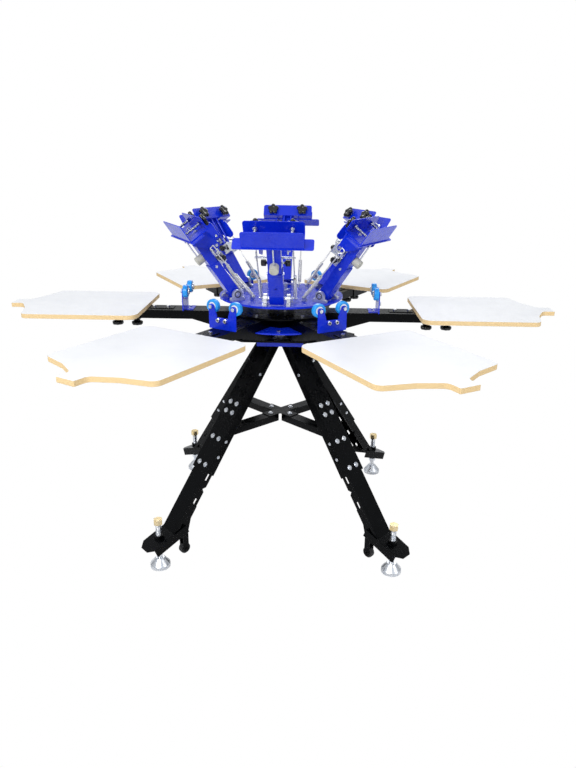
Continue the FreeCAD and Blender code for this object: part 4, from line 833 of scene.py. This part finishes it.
def make_head(i, azimuth):
    """One print head: painted tubes and clamp, plated fittings, bumper, side knobs, nuts and bolts."""
    node = f"head_arm_{i}"
    body = f"head_{i}"
    place = head_frame(azimuth)

    def choose(middle, size):
        if size.x > 100 and size.y < 60 or size.y > 150 and middle.x > 200 and size.x > 30:
            return blue
        if middle.z < -30 and size.x < 40 and size.y > 30:
            return bumper
        if 25 < abs(middle.y) < 50 and middle.x < 165 and size.y < 32:
            return None
        return zinc

    dress(node, body, choose, place)
    handle = lobed_knob(12.5, 11.2, 8, knob_levels(31, 3, 23), 64)
    stem = spin_profile([(0, 23), (4, 23), (4, 32), (0, 32)], 20)
    sides = [place @ move(SIDE_KNOB_PLACE, 0, SIDE_KNOB_RISE)
             @ Matrix.Rotation(math.radians(90 * side), 4, "X")
             for side in (1, -1)]
    new_piece(f"side_knobs_{i}", body, knob, join([(handle, sides)]), node)
    new_piece(f"side_stems_{i}", body, zinc, join([(stem, sides)]), node)
    nut = spin_profile([(5.7, 29), (9.5, 29), (9.5, 30.4), (8, 31), (8, 36.9), (5.7, 36.9)], 6)
    nuts = [place @ move(SCREW_PLACE, side, 0) for side in (SCREW_SIDE, -SCREW_SIDE)]
    new_piece(f"jaw_nuts_{i}", body, zinc, join([(nut, nuts)]))
    way = place.to_3x3() @ Vector((1, 0, 0))
    spots = [(place @ (Vector((291, side, 10)) * MM), way, 1) for side in (43, -43)]
    bolt_set(f"clamp_web_bolts_{i}", body, zinc, spots, hex_bolt(6, 5, 9, 1.2))


def make_screws(i, azimuth):
    """The two hand screws of a clamp, with star knobs and threads that clear their holes."""
    node = body = f"clamp_screws_{i}"
    place = head_frame(azimuth)
    sides = (SCREW_SIDE, -SCREW_SIDE)
    places = [place @ move(SCREW_PLACE, side, CLAMP_KNOB_RISE) for side in sides]
    star = lobed_knob(24.4, 17.4, 5, knob_levels(0, 3.5, 18), 80)
    new_piece(f"clamp_knobs_{i}", body, knob, join([(star, places)]), node)
    core = spin_profile([(0, -34), (8.6, -34), (9, -33.6), (9, -30.4), (8.6, -30), (4.4, -30), (4.4, 47),
                         (0, 47)], 28)
    spots = [place @ move(SCREW_PLACE, side, 0) for side in sides]
    new_piece(f"clamp_stems_{i}", body, zinc, join([(core, spots)]), node)
    thread = helix.run(zinc.material, Turns=44.0, Radius=4.55 * MM, Length=72 * MM, Wire=0.42 * MM, Steps=20,
                       Sides=4)
    coil = taken(thread)
    low = [place @ move(SCREW_PLACE, side, -27) for side in sides]
    new_piece(f"clamp_threads_{i}", body, zinc, join([(coil, low)]))


def make_springs(i, azimuth):
    """The two springs of a head: wound wire, a ring at the anchor and a long eye at the pin of the head."""
    node = body = f"springs_{i}"
    cosine, sine = math.cos(math.radians(RAISED)), math.sin(math.radians(RAISED))
    run = ANCHOR_BEHIND + SPRING_PIN_PLACE * cosine - SPRING_PIN_RISE * sine
    rise = ANCHOR_BELOW + SPRING_PIN_PLACE * sine + SPRING_PIN_RISE * cosine
    long = math.hypot(run, rise)
    place = turn(azimuth) @ move(*ANCHOR) @ lift(math.degrees(math.atan2(rise, run)))
    sides = [place @ move(0, side, 0) for side in (SPRING_SIDE, -SPRING_SIDE)]
    wound = helix.run(wire.material, Turns=49.0, Radius=5.9 * MM, Length=COIL_LONG * MM, Wire=1.07 * MM,
                      Steps=18, Sides=7)
    coil = taken(wound)
    coil.transform(move(COIL_START, 0, 0) @ Matrix.Rotation(math.radians(90), 4, "Y"))
    half, past = 7.5, 8.4
    start, end = long - past, SPRING_LEVEL_LONG + past
    loop = [(start, 0, half), (end, 0, half), (end + 2, 0, half), (end + 2, 0, -half), (end, 0, -half),
            (start, 0, -half), (start - 2, 0, -half), (start - 2, 0, half)]
    eye = wire_tube(loop, 2.05, True)
    bend = [(112, 0, 4.5), (117, 0, 4.5), (122, 0, 0.5), (130, 0, 0)]
    shank = wire_tube([*bend, (start - 12, 0, 0), (start - 2, 0, 0)], 2.4)
    angles = [2 * math.pi * k / 10 for k in range(10)]
    ring = wire_tube([(5.6 * math.cos(angle), 0, 5.6 * math.sin(angle)) for angle in angles], 2.1, True)
    neck = wire_tube([(4.5, 0, 0), (8, 0, 0.5), (11, 0, 3), (14, 0, 5)], 1.8)
    new_piece(f"spring_wires_{i}", body, wire,
              join([(coil, sides), (eye, sides), (shank, sides), (ring, sides),
                    (neck, sides)]), node)


camera()
studio()
make_stand()
make_feet()
make_casters()
make_lower_carousel()
make_upper_carousel()
for number, azimuth in enumerate(HEADS, 1):
    make_head(number, azimuth)
    make_screws(number, azimuth)
    make_springs(number, azimuth)
